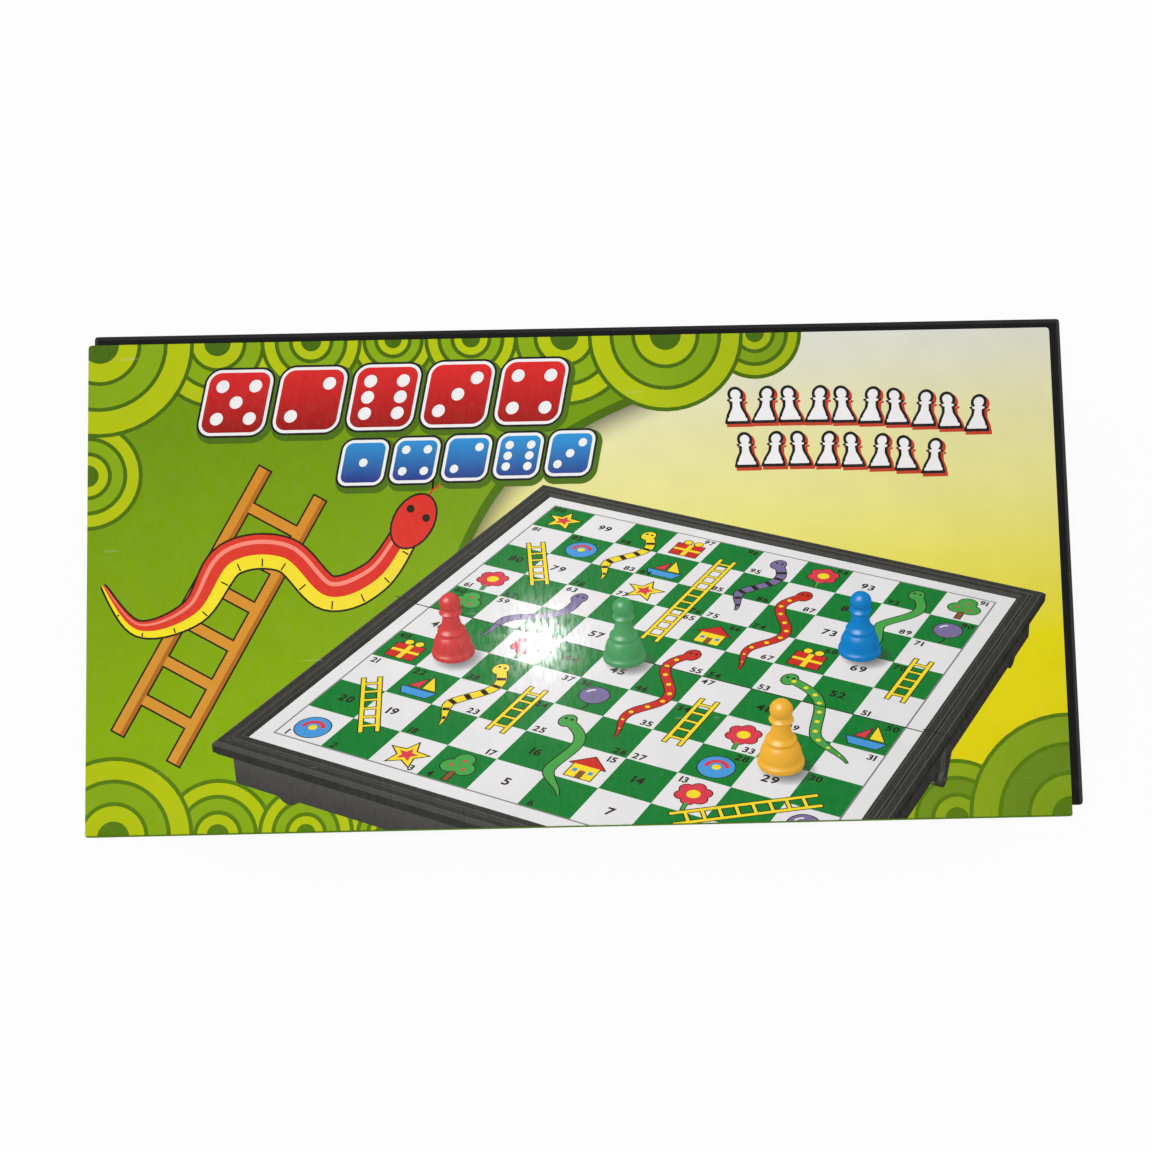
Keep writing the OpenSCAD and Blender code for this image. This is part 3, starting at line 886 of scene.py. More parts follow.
def snake_body(drawing, line):
    """The body along its line, tail first: it soon reaches its width and narrows to the neck."""
    shares = [i / (len(line) - 1) for i in range(len(line))]
    halves = [SNAKE_HALF * min(1, 0.08 + 2.4 * t) * (1 - 0.25 * max(0, (t - 0.8) / 0.2)) for t in shares]

    def aside(share):
        return beside(line, [share * half for half in halves])

    drawing.add("edge", stroke(line, [half + SNAKE_EDGE for half in halves]))
    drawing.add("back", between(aside(-0.2), aside(1.0)))
    drawing.add("belly", between(aside(-1.0), aside(-0.2)))
    drawing.add("shine", between(aside(0.45), aside(0.7)))
    for tick in list(zip(aside(-0.95), aside(-0.45)))[6:-4:5]:
        drawing.add("marks", stroke(tick, 0.35 * SNAKE_EDGE))


card_snake = Drawing()
snake_curve = smooth(CARD_SNAKE, 10)
snake_body(card_snake, snake_curve)
print("the snake's curve has", len(snake_curve), "points")

# %% The snake's head, and its print
HEAD_POINTS = 28


def snake_head(drawing, before, neck):
    """The head with its eyes and its split tongue, ahead of the neck."""
    turn = math.atan2(neck[1] - before[1], neck[0] - before[0])

    def at(ahead, aside):
        x, y = SNAKE_HALF * ahead, SNAKE_HALF * aside
        return (neck[0] + x * math.cos(turn) - y * math.sin(turn),
                neck[1] + x * math.sin(turn) + y * math.cos(turn))

    def oval(ahead, aside, length, width):
        angles = [math.tau * i / HEAD_POINTS for i in range(HEAD_POINTS)]
        return closed([at(ahead + length * math.cos(a), aside + width * math.sin(a)) for a in angles])

    drawing.add("tongue", stroke([at(2.3, 0), at(3.0, 0)], 0.5 * SNAKE_EDGE))
    for side in (-0.3, 0.3):
        drawing.add("tongue", stroke([at(3.0, 0), at(3.6, side)], 0.4 * SNAKE_EDGE))
    for name, grow in (("head_edge", SNAKE_EDGE / SNAKE_HALF), ("head", 0)):
        drawing.add(name, oval(0.8, 0, 1.75 + grow, 1.15 + grow))
    drawing.add("eyes", *[oval(1.35, side, 0.24, 0.24) for side in (-0.55, 0.55)])


snake_red = ink("snake_red", (226, 66, 44), (214, 48, 38), "X", 0, 90)
snake_yellow = ink("snake_yellow", (250, 232, 24), (240, 214, 60), "X", 0, 90)
snake_shine = ink("snake_shine", (247, 140, 124))
snake_head(card_snake, snake_curve[-4], snake_curve[-1])
card_snake.lay("card_snake", {
    "edge": (8, near_black), "tongue": (9, snake_red), "back": (9, snake_red), "belly": (9, snake_yellow),
    "shine": (10, snake_shine), "marks": (10, near_black), "head_edge": (11, near_black),
    "head": (12, snake_red), "eyes": (13, near_black)})

# %% [markdown]
# Two rows of dice are the card's largest print: five red ones over five blue ones, leaning to the
# right and climbing, each with a white border inside a black one and a dark shadow.

# %% Dice
LEAN, CLIMB = 0.2, 0.35
DIE_ROUND, DOT_APART, DOT_R = 0.18, 0.27, 0.105
DIE_BORDERS = [("shadow", 1.9, 0.6, -0.9), ("black", 1.3, 0, 0), ("white", 0.75, 0, 0)]


def dots(count):
    """Where a die's dots are: an odd count has one in the middle, and the rest are in pairs."""
    pairs = [(1, 1), (1, -1), (1, 0)][:count // 2]
    return [(0, 0)] * (count % 2) + pairs + [(-x, -y) for x, y in pairs]


def die_face(size, grow):
    """A square about the origin with round corners; grow makes it larger all round."""
    reach, radius = size / 2 - size * DIE_ROUND, size * DIE_ROUND + grow
    points = []
    for corner, (x, y) in enumerate(((1, 1), (-1, 1), (-1, -1), (1, -1))):
        points += arc((x * reach, y * reach), radius, 90 * corner, 90 * corner + 90)
    return closed(points)


def bordered(drawing, borders, outline, size, spot, lean):
    """A leaning shape in its borders, each made larger by its share and moved across and up."""
    for name, grow, across, up in borders:
        drawing.add(name, moved(outline(size, grow), (spot[0] + across, spot[1] + up), lean))


def dice_row(drawing, counts, fill, left, bottom, size, gap):
    """A row of leaning dice faces, drawn from the left."""
    for number, count in enumerate(counts):
        spot = left + size / 2 + number * (size + gap), bottom + size / 2 + CLIMB * number
        bordered(drawing, [*DIE_BORDERS, (fill, 0, 0, 0)], die_face, size, spot, LEAN)
        for across, up in dots(count):
            dot = disc((DOT_APART * size * across, DOT_APART * size * up), DOT_R * size)
            drawing.add("dots", moved(dot, spot, LEAN))


shadow_green = ink("shadow_green", (74, 108, 14))
print_black = ink("print_black", (24, 24, 24))
print_white = ink("print_white", (238, 236, 236))
dice_red = ink("dice_red", (140, 22, 16), (222, 40, 40), "Y", 100, 119)
dice_blue = ink("dice_blue", (44, 50, 128), (48, 150, 216), "Y", 88, 100)
dice = Drawing()
dice_row(dice, (5, 2, 6, 3, 4), "red", left=30, bottom=101.5, size=15.5, gap=3.4)
dice_row(dice, (1, 4, 2, 6, 3), "blue", left=65, bottom=88, size=10.2, gap=3.0)
dice.lay("card_dice", {
    "shadow": (9, shadow_green), "black": (10, print_black), "white": (11, print_white),
    "red": (12, dice_red), "blue": (12, dice_blue), "dots": (13, print_white)})

# %% [markdown]
# On the right a row of little pawns stands on a bow, and a shorter row stands under it. A pawn's
# outline is one side, the round head and the same side turned over.

# %% Rows of pawns
PAWN_SIDE = [(0.31, 0), (0.31, 0.08), (0.27, 0.12), (0.25, 0.2), (0.14, 0.42), (0.12, 0.6), (0.2, 0.64),
             (0.2, 0.68), (0.12, 0.7)]
PAWN_BORDERS = [("red", 0.75, 0.55, -0.65), ("black", 0.6, 0, 0), ("white", -0.15, 0, 0)]


def little_pawn(tall, grow):
    """A plain pawn's outline, standing on the origin; grow makes it larger all round."""
    side = [(x * tall + grow, y * tall + (-grow if i < 2 else 0)) for i, (x, y) in enumerate(PAWN_SIDE)]
    head = arc((0, 0.83 * tall), 0.17 * tall + grow, -48, 228)
    return closed(side + head + [(-x, y) for x, y in reversed(side)])


def pawn_row(drawing, count, left, bottom, step, tall, bow):
    """A row of little pawns on a bow, leaning a little to and fro."""
    for number in range(count):
        share = 2 * number / (count - 1) - 1
        spot = left + number * step, bottom - bow * share * share - CLIMB * number
        bordered(drawing, PAWN_BORDERS, little_pawn, tall, spot, 0.12 if number % 2 else -0.06)


rust_red = ink("rust_red", (196, 64, 40))
rows = Drawing()
pawn_row(rows, 10, left=166, bottom=103, step=6.8, tall=8.5, bow=1.2)
pawn_row(rows, 8, left=168, bottom=91.5, step=6.8, tall=8.0, bow=1.0)
rows.lay("card_rows", {"red": (2, rust_red), "black": (3, print_black), "white": (4, print_white)})

# %% [markdown]
# ## The playing board
#
# The same board is printed twice: full size on the two playing faces, and small in the picture of
# the open set on the card. So it is drawn once, in board millimetres from the corner by square 1.
# It has ten rows of ten squares that are numbered to and fro, white and green by turns.

# %% Squares
SQUARE = 21.6
GRID_LOW = (BOARD_W - 10 * SQUARE) / 2
GRID_HIGH = GRID_LOW + 10 * SQUARE
GRID_LINE = 0.35


def place_in(number, share_x=0.5, share_y=0.5):
    """A place in a numbered square, in shares of its side; every other row runs back."""
    row, step = divmod(number - 1, 10)
    column = 9 - step if row % 2 else step
    return GRID_LOW + column * SQUARE + share_x * SQUARE, GRID_LOW + row * SQUARE + share_y * SQUARE


def draw_squares(drawing):
    for number in range(2, 101, 2):
        drawing.add("green", closed(box(*place_in(number, 0, 0), *place_in(number, 1, 1))))
    start, end = GRID_LOW - GRID_LINE, GRID_HIGH + GRID_LINE
    for at in (GRID_LOW, GRID_HIGH):
        for line in ([(start, at), (end, at)], [(at, start), (at, end)]):
            drawing.add("line", stroke(line, GRID_LINE))


print("square 1 starts %.2f mm from the board's edges" % GRID_LOW)

# %% [markdown]
# Some squares hold a small picture of something found in a garden or a toy box. Each is drawn about
# the origin, a dark outline with fills on top, and is then moved to its square.

# %% Parts of a square's picture
OUTLINE = 0.45


def bloom(drawing, name, middle, reach, size, petals, start=90):
    """Discs round a middle point, with their outline."""
    for number in range(petals):
        spot = around(middle, reach, math.radians(start + 360 * number / petals))
        drawing.add("under", disc(spot, size + OUTLINE))
        drawing.add(name, disc(spot, size))


def outlined(drawing, name, corners):
    """A filled outline; its dark line is a stroke round it."""
    for ends in zip(corners, corners[1:] + corners[:1]):
        drawing.add("under", stroke(ends, OUTLINE))
    drawing.add("under", *[disc(corner, OUTLINE) for corner in corners])
    drawing.add(name, closed(corners))


print("a small picture's outline is", OUTLINE, "mm wide")

# %% Pictures in the squares
def flower(drawing):
    drawing.add("under", stroke([(0.6, -9), (0, -4)], 1.0))
    drawing.add("leaf_top", stroke([(0.6, -8.8), (0, -4)], 0.6))
    bloom(drawing, "rose", (0, 1.8), 4.2, 2.6, 6)
    drawing.add("gold_top", disc((0, 1.8), 2.6))


def ball(drawing):
    bloom(drawing, "sky", (0, -0.6), 0, 7.0, 1)
    drawing.add("rose_top", ring((0, -0.6), 3.0, 4.8, 15, 195))
    drawing.add("gold_top", disc((0, -0.6), 1.7))


def star(drawing):
    for name, size in (("under", 9.6), ("gold", 8.2), ("rose_top", 4.4)):
        radii = [size, 0.45 * size] * 5
        points = [around((0, -0.4), r, math.radians(90 + 36 * i)) for i, r in enumerate(radii)]
        drawing.add(name, closed(points))


def parcel(drawing):
    outlined(drawing, "brick", box(-6.5, -7.5, 6.5, 3.2))
    drawing.add("gold_top", closed(box(-1.1, -7.5, 1.1, 3.2)), closed(box(-6.5, -2.9, 6.5, -1.1)))
    bloom(drawing, "gold", (0, 5.0), 2.5, 1.8, 2, 0)


def tree(drawing):
    outlined(drawing, "bark", box(-1.1, -8.5, 1.1, -2.2))
    bloom(drawing, "leaf", (0, 2.4), 3.4, 3.9, 3)
    drawing.add("rose_top", *[disc(spot, 0.8) for spot in ((-3.2, 1.2), (2.6, 0.2), (0.4, 5.2))])


def balloon(drawing):
    drawing.add("under", stroke([(0, -9.4), (1.3, -6), (0, -3)], 0.35))
    bloom(drawing, "grape", (0, 2), 0, 5.9, 1)
    drawing.add("white_top", ring((0, 2), 3.5, 4.4, 110, 165))


def boat(drawing):
    outlined(drawing, "sky", [(-8, -3), (-5.6, -7.4), (5.6, -7.4), (8, -3)])
    outlined(drawing, "gold", [(0.8, -1.6), (6.6, -1.6), (0.8, 7.4)])
    outlined(drawing, "rose", [(-0.8, -1.6), (-0.8, 5.2), (-5.4, -1.6)])


def house(drawing):
    outlined(drawing, "gold", box(-5.4, -7.6, 5.4, 0.6))
    outlined(drawing, "brick", [(-7.4, 0.6), (7.4, 0.6), (0, 7.2)])
    drawing.add("bark_top", closed(box(-1.3, -7.6, 1.3, -2.8)))
    drawing.add("sky_top", *[closed(box(x, -4.2, x + 1.8, -2.2)) for x in (-4.2, 2.4)])


SQUARES_OF = {
    flower: (13, 33, 43, 61, 94), ball: (1, 28, 82), star: (3, 9, 77, 100), parcel: (40, 68, 97),
    tree: (4, 60, 91), balloon: (11, 36, 90), boat: (22, 50, 84), house: (15, 66),
}
picture_in = {number: picture for picture, numbers in SQUARES_OF.items() for number in numbers}
print(len(picture_in), "squares hold a picture")

# %% [markdown]
# Plain numbers come from Blender's own font. Each numeral is turned into flat faces once and then
# placed as often as it is needed. A number stands in the middle of its square unless something lies
# there; then it is smaller, in the corner that is most free.

# %% Numerals
NUMERAL_GAP = 0.14


def numeral_shapes():
    """The ten numerals as flat shapes, one millimetre tall; the nine is the six turned round."""
    writing = bpy.data.curves.new("numeral", "FONT")
    writing.offset = 0.03
    holder = bpy.data.objects.new("numeral", writing)
    shapes = []
    for numeral in range(9):
        writing.body = str(numeral)
        mesh = bpy.data.meshes.new_from_object(holder)
        left = min(v.co.x for v in mesh.vertices)
        tall = max(v.co.y for v in mesh.vertices)
        points = [((v.co.x - left) / tall, v.co.y / tall) for v in mesh.vertices]
        shapes.append((points, [tuple(face.vertices) for face in mesh.polygons]))
        bpy.data.meshes.remove(mesh)
    bpy.data.objects.remove(holder)
    bpy.data.curves.remove(writing)
    six, faces = shapes[6]
    wide = max(x for x, y in six)
    return [*shapes, ([(wide - x, 1 - y) for x, y in six], faces)]


def draw_number(drawing, number, middle, tall):
    """Writes a plain number round a middle point."""
    digits = [NUMERALS[int(digit)] for digit in str(number)]
    widths = [max(x for x, y in points) for points, faces in digits]
    x = middle[0] - tall * (sum(widths) + NUMERAL_GAP * (len(digits) - 1)) / 2
    for shape, width in zip(digits, widths):
        drawing.add("number", moved(shape, (x, middle[1] - tall / 2), 0.0, tall))
        x += tall * (width + NUMERAL_GAP)


NUMERALS = numeral_shapes()
print(len(NUMERALS), "numerals")

# %% Numbers in the squares
NUMBER_TALL, CORNER_TALL = 4.4, 3.5
NUMBER_ROOM = 5.5
CORNERS = [(0.19, 0.86), (0.81, 0.86), (0.19, 0.14), (0.81, 0.14)]


def number_square(drawing, number, lines):
    """Writes a square's number clear of its picture and of the snakes and ladders."""
    def room(shares):
        spot = place_in(number, *shares)
        return min(math.dist(spot, point) for line in lines for point in line)

    if number not in picture_in and room((0.5, 0.5)) > NUMBER_ROOM:
        draw_number(drawing, number, place_in(number), NUMBER_TALL)
    else:
        draw_number(drawing, number, place_in(number, *max(CORNERS, key=room)), CORNER_TALL)


print("numbers are", NUMBER_TALL, "mm tall, or", CORNER_TALL, "mm in a corner")

# %% [markdown]
# A snake's head is where it starts and its tail is where it sends a piece down to. Its body sways
# between the two. Skins are red, green, grey or gold, some with yellow spots or dark bands.

# %% Snakes of the board
SNAKES = [
    (98, 78, "gold", "bands", 2), (95, 75, "grape", "bands", 2), (92, 72, "leaf", "", 2),
    (87, 54, "brick", "spots", 3), (63, 42, "grape", "", 2), (55, 26, "brick", "spots", 3),
    (53, 31, "leaf", "spots", 2), (38, 18, "gold", "bands", 2), (25, 6, "leaf", "", 2),
]
SWAY, BODY_HALF, HEAD_HALF, HEAD_LONG = 5.5, 2.0, 3.2, 1.25


def snake_line(head, tail, bends):
    """A curve from the middle of the tail's square to the head's, swaying more towards the head."""
    ends = place_in(tail), place_in(head, 0.5, 0.6)
    steps = max(24, round(math.dist(*ends) / 2))
    shares = [i / steps for i in range(steps + 1)]
    sways = [SWAY * math.sin(math.pi * bends * share) * min(1, 3 * share) for share in shares]
    return beside([along(ends, share) for share in shares], sways)


def draw_board_snake(drawing, line, skin, marks):
    """A snake along its line, tail first, in its skin."""
    steps, (x, y) = len(line) - 1, line[-1]
    halves = [BODY_HALF * min(1, 0.1 + 3 * i / steps) for i in range(steps + 1)]
    for name, grow in (("edge", OUTLINE), (skin + "_skin", 0)):
        body = stroke(line, [half + grow for half in halves])
        drawing.add(name, body, disc((x, y), HEAD_HALF + grow, HEAD_LONG))
    if marks == "bands":
        for i in range(2, steps - 1, 3):
            drawing.add("edge_top", stroke([line[i], line[i + 1]], 0.95 * halves[i]))
    elif marks == "spots":
        for i in range(3, steps, 3):
            drawing.add("gold_top_skin", disc(line[i], 0.5 * halves[i]))
    drawing.add("edge_top", *[disc((x + side, y + 1.2), 0.7) for side in (-1.3, 1.3)])


print("the board has", len(SNAKES), "snakes")

# %% The whole board
LADDERS = [(2, 21), (8, 30), (17, 37), (27, 47), (51, 71), (56, 96), (62, 81)]
LADDER_SPOTS = 40


def draw_board():
    drawing = Drawing()
    draw_squares(drawing)
    snakes = [snake_line(head, tail, bends) for head, tail, skin, marks, bends in SNAKES]
    ladders = [(place_in(low, 0.5, 0.75), place_in(high, 0.5, 0.3)) for low, high in LADDERS]
    lines = snakes + [[along(ends, i / LADDER_SPOTS) for i in range(LADDER_SPOTS + 1)] for ends in ladders]
    for number in range(1, 101):
        number_square(drawing, number, lines)
        if number in picture_in:
            picture = Drawing()
            picture_in[number](picture)
            for name, shapes in picture.inks.items():
                drawing.add(name, *[moved(shape, place_in(number, 0.52, 0.46)) for shape in shapes])
    for foot, top in ladders:
        ladder(drawing, foot, top, gap=6.5, rail=0.75, rung_step=6.2, edge=OUTLINE,
               names=("rail", "wood", "wood"))
    for line, (head, tail, skin, marks, bends) in zip(snakes, SNAKES):
        draw_board_snake(drawing, line, skin, marks)
    return drawing


board = draw_board()
print("board drawn in", len(board.inks), "inks, with", len(LADDERS), "ladders")

# %% [markdown]
# ## The picture of the open set
#
# The card also shows the set open, seen from above one corner, with four pawns on it. This is drawn
# the way a pin-hole camera would: a view turns board millimetres into card millimetres. The flat
# board goes through it as it is, and so do the two shells, which are taken from the solids.

# %% The picture's own view
TURN, RISE = math.radians(-28), math.radians(31)
EYE_FAR, EYE_FOCAL = 800, 500
PICTURE_MIDDLE = (143, 41)
sheet_level = -(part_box("lower_play_sheet")[0].z - shell_low.z) / MM
back = Vector((-math.sin(TURN) * math.cos(RISE), -math.cos(TURN) * math.cos(RISE), math.sin(RISE)))
right = Vector((math.cos(TURN), -math.sin(TURN), 0))
up = back.cross(right)
eye = Vector((BOARD_W / 2, HALF_D, 0)) + back * EYE_FAR


def seen(x, y, z):
    """Where a place on the open board is on the card, and how near it is; z is 0 at the rim's top."""
    way = Vector((x, y, z)) - eye
    depth = -way.dot(back)
    across, rise = (EYE_FOCAL * way.dot(axis) / depth for axis in (right, up))
    return PICTURE_MIDDLE[0] + across, PICTURE_MIDDLE[1] + rise, EYE_FAR / depth


def on_sheet(x, y):
    """Where a place on the playing face is on the card."""
    return seen(x, y, sheet_level)[:2]


print("board corners on the card:", [tuple(round(v) for v in on_sheet(*corner))
                                     for corner in box(0, 0, BOARD_W, BOARD_D)])

# %% [markdown]
# The solids in the picture get a painted shade for each point. Nearer parts are printed a hair
# thicker, so that seen from the front they hide what is behind them without any sorting.

# %% Painted shades
NEAREST, FURTHEST = 1.25, 0.78
picture_light = (0.75 * back - 0.5 * right + 0.55 * up).normalized()
gleam_way = (picture_light + back).normalized()


def shade(normal, colour, gleam, spread, dark=0.38):
    """A painted shade: dark is its share of the colour away from the light; the gleam is soft."""
    lit = dark + (1.1 - dark) * max(0.0, normal.dot(picture_light))
    shine = gleam * max(0.0, normal.dot(gleam_way)) ** spread
    return [min(1.0, part * lit + shine) for part in colour[:3]]


def raised(x, y, nearness, levels):
    """A place in the picture, with the height of its print."""
    return x, y, INK * levels * (nearness - FURTHEST) / (NEAREST - FURTHEST)


print("picture lit from", [round(part, 2) for part in picture_light])

# %% [markdown]
# The shells' faces that look towards the picture's eye are drawn, apart from those inside the
# cavities, which nothing can show. The rim is black; the walls below it are greyer and darken
# towards their foot.

# %% The open case in the picture
WALL_IN, UNDER_SHEET = 5.5, 0.4
RIM_TALL, WALL_FOOT = 5.9, 20.0
RIM_BLACK, WALL_GREY = srgb(50, 49, 44), srgb(84, 82, 79)


def on_open_board(half, spot):
    """Where a point of a shell at rest comes to on the open board, in board millimetres."""
    if half == "lower_shell":
        return Vector((spot.x - shell_low.x, shell_high.y - spot.y, shell_low.z - spot.z)) / MM
    return Vector(((spot.x - shell_low.x) / MM, HALF_D + (spot.y - hinge_y) / MM, (spot.z - upper_top) / MM))


def wall_tone(corner):
    """How light a wall is: it darkens down to its foot, and is lightest towards the left."""
    down = min(1.0, max(0.0, (-corner.z - RIM_TALL) / (WALL_FOOT - RIM_TALL)))
    return (1.0 - 0.36 * down) * (1.08 - 0.2 * corner.x / BOARD_W)


def shell_faces(half):
    mesh = nodes[half].data
    for polygon in mesh.polygons:
        corners = [on_open_board(half, mesh.vertices[i].co) for i in polygon.vertices]
        middle = sum(corners, Vector()) / len(corners)
        normal = (corners[1] - corners[0]).cross(corners[2] - corners[0])
        within = WALL_IN < middle.x < BOARD_W - WALL_IN and WALL_IN < middle.y < BOARD_D - WALL_IN
        if normal.dot(eye - middle) <= 0 or (within and middle.z < sheet_level - UNDER_SHEET):
            continue
        on_rim = middle.z > -RIM_TALL
        tone = shade(normal.normalized(), RIM_BLACK if on_rim else WALL_GREY, gleam=0.03, spread=6)
        shares = [1 if on_rim else wall_tone(corner) for corner in corners]
        yield [(raised(*seen(*corner), 4), [share * part for part in tone])
               for corner, share in zip(corners, shares)]


case_faces = [*shell_faces("lower_shell"), *shell_faces("upper_shell")]
lay_toned("picture_case", case_faces, 5, tone_print)

# %% [markdown]
# The rim is stepped, and each step catches a thin line of light all the way round. These lines are
# frames on the open board at the depth of their step. The joint between the halves crosses them.

# %% Lines of light on the rim
RIM_STEPS = [(8.4, 0.0, 0.35), (5.5, 0.0, 0.45), (4.3, 0.42, 0.3), (1.2, 0.42, 0.5)]
SHEET_EDGE = (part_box("lower_play_sheet")[0].x - shell_low.x) / MM
SEAM_HALF = 0.3


def at_depth(shape, depth):
    """A flat shape on the open board, seen at a depth below the top of the rim."""
    points, faces = shape
    return [seen(x, y, -depth)[:2] for x, y in points], faces


def frame_line(inset, width):
    """A thin frame, inset from the board's outer edge."""
    loops = [box(off, off, BOARD_W - off, BOARD_D - off) for off in (inset, inset + width)]
    return between(*[loop + loop[:1] for loop in loops])


rim = Drawing()
rim.add("glint", *[at_depth(frame_line(inset, width), depth) for inset, depth, width in RIM_STEPS])
for x, way in ((0, 1), (BOARD_W, -1)):
    rim.add("joint", at_depth(stroke([(x, HALF_D), (x + way * SHEET_EDGE, HALF_D)], SEAM_HALF), 0))
rim.lay("picture_rim", {"glint": (9.2, ink("picture_rim_glint", (84, 82, 76))), "joint": (9.5, near_black)})

# %% [markdown]
# The board is laid into the picture through the view. In the picture its paper has to be drawn
# too, with the line where the two halves meet. Of the board's inks, green comes first, then lines,
# pictures and numbers, then ladders, and snakes on top.

# %% The board in the picture
INK_COLOURS = {
    "green": (14, 120, 46), "line": (128, 132, 128), "leaf": (70, 160, 70), "rose": (216, 58, 74),
    "sky": (70, 150, 214), "gold": (246, 216, 40), "brick": (200, 44, 34), "bark": (132, 84, 40),
    "grape": (120, 108, 150), "white": (227, 225, 225),
}
FIRST_LEVELS = {
    "green": 1, "line": 2, "under": 2, "number": 4, "rail": 5, "wood": 6, "edge": 7, "edge_top": 9}
PICTURE_BASE = 9
board_inks = {name: ink("board_" + name, colour) for name, colour in INK_COLOURS.items()}
board_inks.update(dict.fromkeys(("number", "under", "edge", "rail"), near_black), wood=board_inks["gold"])
board_levels = {}
for name in board.inks:
    fill_level = (8 if name.endswith("_skin") else 3) + ("_top" in name)
    board_levels[name] = (FIRST_LEVELS.get(name, fill_level), board_inks[name.split("_")[0]])
board.lay("picture_board", board_levels, through=on_sheet, base=PICTURE_BASE)
for name, fill, low, high, level in (
        ("picture_paper", "white", SHEET_EDGE, BOARD_D - SHEET_EDGE, 0),
        ("picture_seam", "edge", HALF_D - SEAM_HALF, HALF_D + SEAM_HALF, 10)):
    plain = Drawing()
    plain.add(fill, closed(box(SHEET_EDGE, low, BOARD_W - SHEET_EDGE, high)))
    plain.lay(name, {fill: (level, board_inks[fill])}, through=on_sheet, base=PICTURE_BASE)

# %% [markdown]
# The pawns in the picture are turned from the outline of the real pawns: the widest point at each
# height. Under each lies a soft shadow, an ink that fades out through its alpha.

# %% Outline of a pawn
OUTLINE_STEP = 0.5


def pawn_outline():
    """Radius and height of a pawn from its foot up, in millimetres."""
    low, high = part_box("pawn_red")
    middle = (low + high) / 2
    widest = {}
    for vertex in nodes["pawn_red"].data.vertices:
        place = (vertex.co - Vector((middle.x, middle.y, low.z))) / MM
        row = round(place.z / OUTLINE_STEP)
        widest[row] = max(widest.get(row, (0, 0)), (math.hypot(place.x, place.y), place.z))
    rows = [widest[row] for row in sorted(widest)]
    return rows + [(0.0, rows[-1][1] + 0.01)]


outline = pawn_outline()
print("a pawn's outline has", len(outline), "points")

# %% Pawns in the picture
PAWN_TURNS = 28
PICTURE_PAWNS = {"red": (47, 97), "green": (112, 124), "blue": (196, 170), "yellow": (200, 82)}
SHADOW_SHIFT, SHADOW_R, SHADOW_DARK, SHADOW_RINGS = (4, -2), 11, 0.8, 4


def turned_pawn(foot, colour):
    """Faces of a turned pawn that stands on the board in the picture."""
    rows = []
    for i, (radius, height) in enumerate(outline):
        before, after = outline[max(i - 1, 0)], outline[min(i + 1, len(outline) - 1)]
        slope = Vector((after[1] - before[1], before[0] - after[0])).normalized()
        row = []
        for turn in range(PAWN_TURNS):
            angle = math.tau * turn / PAWN_TURNS
            x, y = math.cos(angle), math.sin(angle)
            normal = Vector((slope.x * x, slope.x * y, slope.y))
            place = seen(foot[0] + radius * x, foot[1] + radius * y, sheet_level + height)
            tone = shade(normal, colour, gleam=0.38, spread=55, dark=0.70)
            row.append((raised(*place, 3), tone, normal.dot(back)))
        rows.append(row)
    for low, high in zip(rows, rows[1:]):
        for i in range(PAWN_TURNS):
            corners = [low[i - 1], low[i], high[i], high[i - 1]]
            if max(facing for place, tone, facing in corners) > 0:
                yield [(place, tone) for place, tone, facing in corners]


def fading_disc(middle):
    """A disc that is darkest in its middle, laid on the board in the picture."""
    edges = []
    for step in range(SHADOW_RINGS + 1):
        share = step / SHADOW_RINGS
        edge = [on_sheet(*spot) for spot in arc(middle, SHADOW_R * share)]
        edges.append((edge, SHADOW_DARK * (1 - share) ** 0.8))
    return [face for inner, outer in zip(edges, edges[1:]) for face in toned_strip(*outer, *inner, 2)]


shadows, figures = [], []
for name, foot in PICTURE_PAWNS.items():
    shadows += fading_disc((foot[0] + SHADOW_SHIFT[0], foot[1] + SHADOW_SHIFT[1]))
    figures += turned_pawn(foot, PAWN_INKS[name])
lay_toned("picture_shadows", shadows, PICTURE_BASE + 11, fading)
lay_toned("picture_pawns", figures, PICTURE_BASE + 12, tone_print)

# %% [markdown]
# ## The playing faces
#
# Each half carries a printed sheet over its steel plate. Shut, the lower one looks down and the
# upper one looks up under the card. The same drawing is laid on both, and each trims off what
# belongs to the other. The paper is coated, whiter and less glossy than the card.

# %% Playing sheets
def coated_paper():
    finish = Finish("coated_play_paper")
    cloud = finish.noise(12, detail=3)
    return finish.surface(
        base_color=finish.mix(cloud, srgb(228, 227, 226), srgb(236, 235, 233)),
        roughness=0.34 + 0.08 * cloud, normal=finish.bump(finish.noise(0.4, detail=4), 0.006, 0.5),
        coat_weight=0.3, coat_roughness=0.2)


dress(coated_paper(), "lower_play_sheet", "upper_play_sheet")
for half, corner_y, way in (("lower", shell_high.y, -1), ("upper", hinge_y - HALF_D * MM, 1)):
    low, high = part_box(half + "_play_sheet")
    corner = (shell_low.x, corner_y, high.z if way > 0 else low.z)
    x_ends = [(x - shell_low.x) / MM for x in (low.x, high.x)]
    y_ends = sorted(way * (y - corner_y) / MM for y in (low.y, high.y))
    face = PrintedFace(half + "_half", "play_sheet", corner, way, x_ends, y_ends)
    board.lay(half + "_half_print", board_levels, face)

# %% [markdown]
# ## Studio
#
# The set lies on a plain white floor in even, soft light from all round, with a window on either
# side. The floor and the air are white to the camera and to rays that a gloss sends back, but the
# air lights the set with less than half of that, so that the set's own colours come out as they are
# written. The floor keeps a little of its real shading, which holds the set's shadow.

# %% Floor and air
WHITE = srgb(255, 255, 255)
FLOOR_HALF, FLOOR_GLOW, AIR_LIGHT = 2.5, 0.94, 0.47


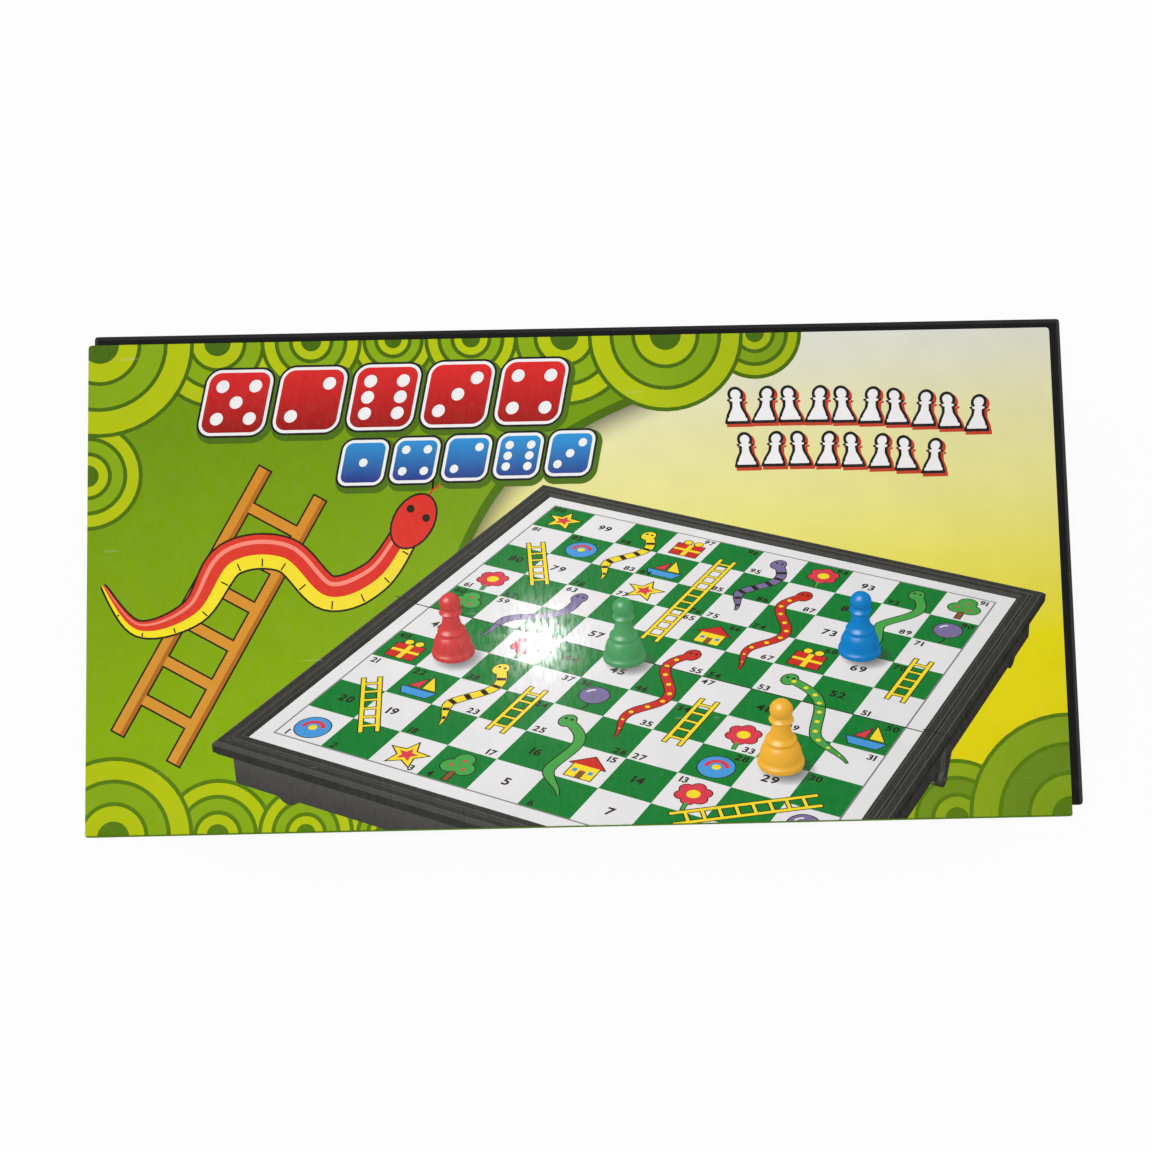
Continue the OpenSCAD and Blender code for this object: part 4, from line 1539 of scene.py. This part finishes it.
def sees_background(finish):
    """1 for rays from the camera, and for those that a shiny or a clear surface sends on."""
    kinds = ("Is Camera Ray", "Is Glossy Ray", "Is Transmission Ray")
    return finish.highest(*[finish.node("LightPath", out=kind) for kind in kinds])


def studio_floor():
    finish = Finish("studio_floor")
    colour = finish.mix(finish.noise(3), srgb(244, 244, 244), srgb(250, 250, 250))
    lit = finish.node("BsdfDiffuse", {}, {"Color": colour, "Roughness": 0.6})
    glow = finish.node("Emission", {}, {"Color": WHITE, "Strength": 1.0})
    share = sees_background(finish) * FLOOR_GLOW
    return finish.end(finish.node("MixShader", {}, {0: share, 1: lit, 2: glow}))


def studio_air():
    air = Finish("studio_air", bpy.data.worlds.new("studio_air"))
    light, backdrop = (air.node("Background", {}, {"Color": WHITE, "Strength": strength})
                       for strength in (AIR_LIGHT, 1.0))
    either = air.node("MixShader", {}, {0: sees_background(air), 1: light, 2: backdrop})
    return air.end(either, "OutputWorld")


ground = bmesh.new()
bmesh.ops.create_grid(ground, x_segments=2, y_segments=2, size=FLOOR_HALF)
piece_from("studio_floor", ground, [studio_floor()])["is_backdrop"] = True
bpy.context.scene.world = studio_air()

# %% [markdown]
# Besides the windows there is a small flash near the camera, which gives the mottled glare in the
# middle of the card. A mirror shows a lamp as far behind it as the lamp is in front, so the flash
# stands across the glare from the camera, at the same height.

# %% Lamps
GLARE_MM = (-11.0, -16.5, 40.8)
MIDDLE_MM = (0, 0, 20)


def lamp(name, place_mm, aim_mm, size_mm, watts):
    """A soft lamp that shines from one place to another; it isn't seen itself."""
    light = bpy.data.lights.new(name, "AREA")
    light.shape = "DISK"
    light.size = size_mm * MM
    light.energy = watts
    piece = put(light)
    way = (Vector(aim_mm) - Vector(place_mm)).to_track_quat("-Z", "Y")
    piece.matrix_world = Matrix.LocRotScale(Vector(place_mm) * MM, way, None)
    piece.visible_camera = False


flash_at = (2 * GLARE_MM[0] - CAMERA_MM[0], 2 * GLARE_MM[1] - CAMERA_MM[1], CAMERA_MM[2])
lamp("flash", flash_at, GLARE_MM, size_mm=12, watts=0.38)
lamp("window_left", (-700, 300, 620), MIDDLE_MM, size_mm=500, watts=1.45)
lamp("window_right", (700, 250, 700), MIDDLE_MM, size_mm=600, watts=1.1)
bpy.context.scene.view_settings.view_transform = "Standard"
print("flash at", flash_at)

# %% [markdown]
# ## The object's box
#
# The whole object's box is worked out beside the solids' box.

# %% The object's box
boxes = {"cad": cad_box, "visual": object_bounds()}
{name: [list(corner) for corner in box] for name, box in boxes.items()}
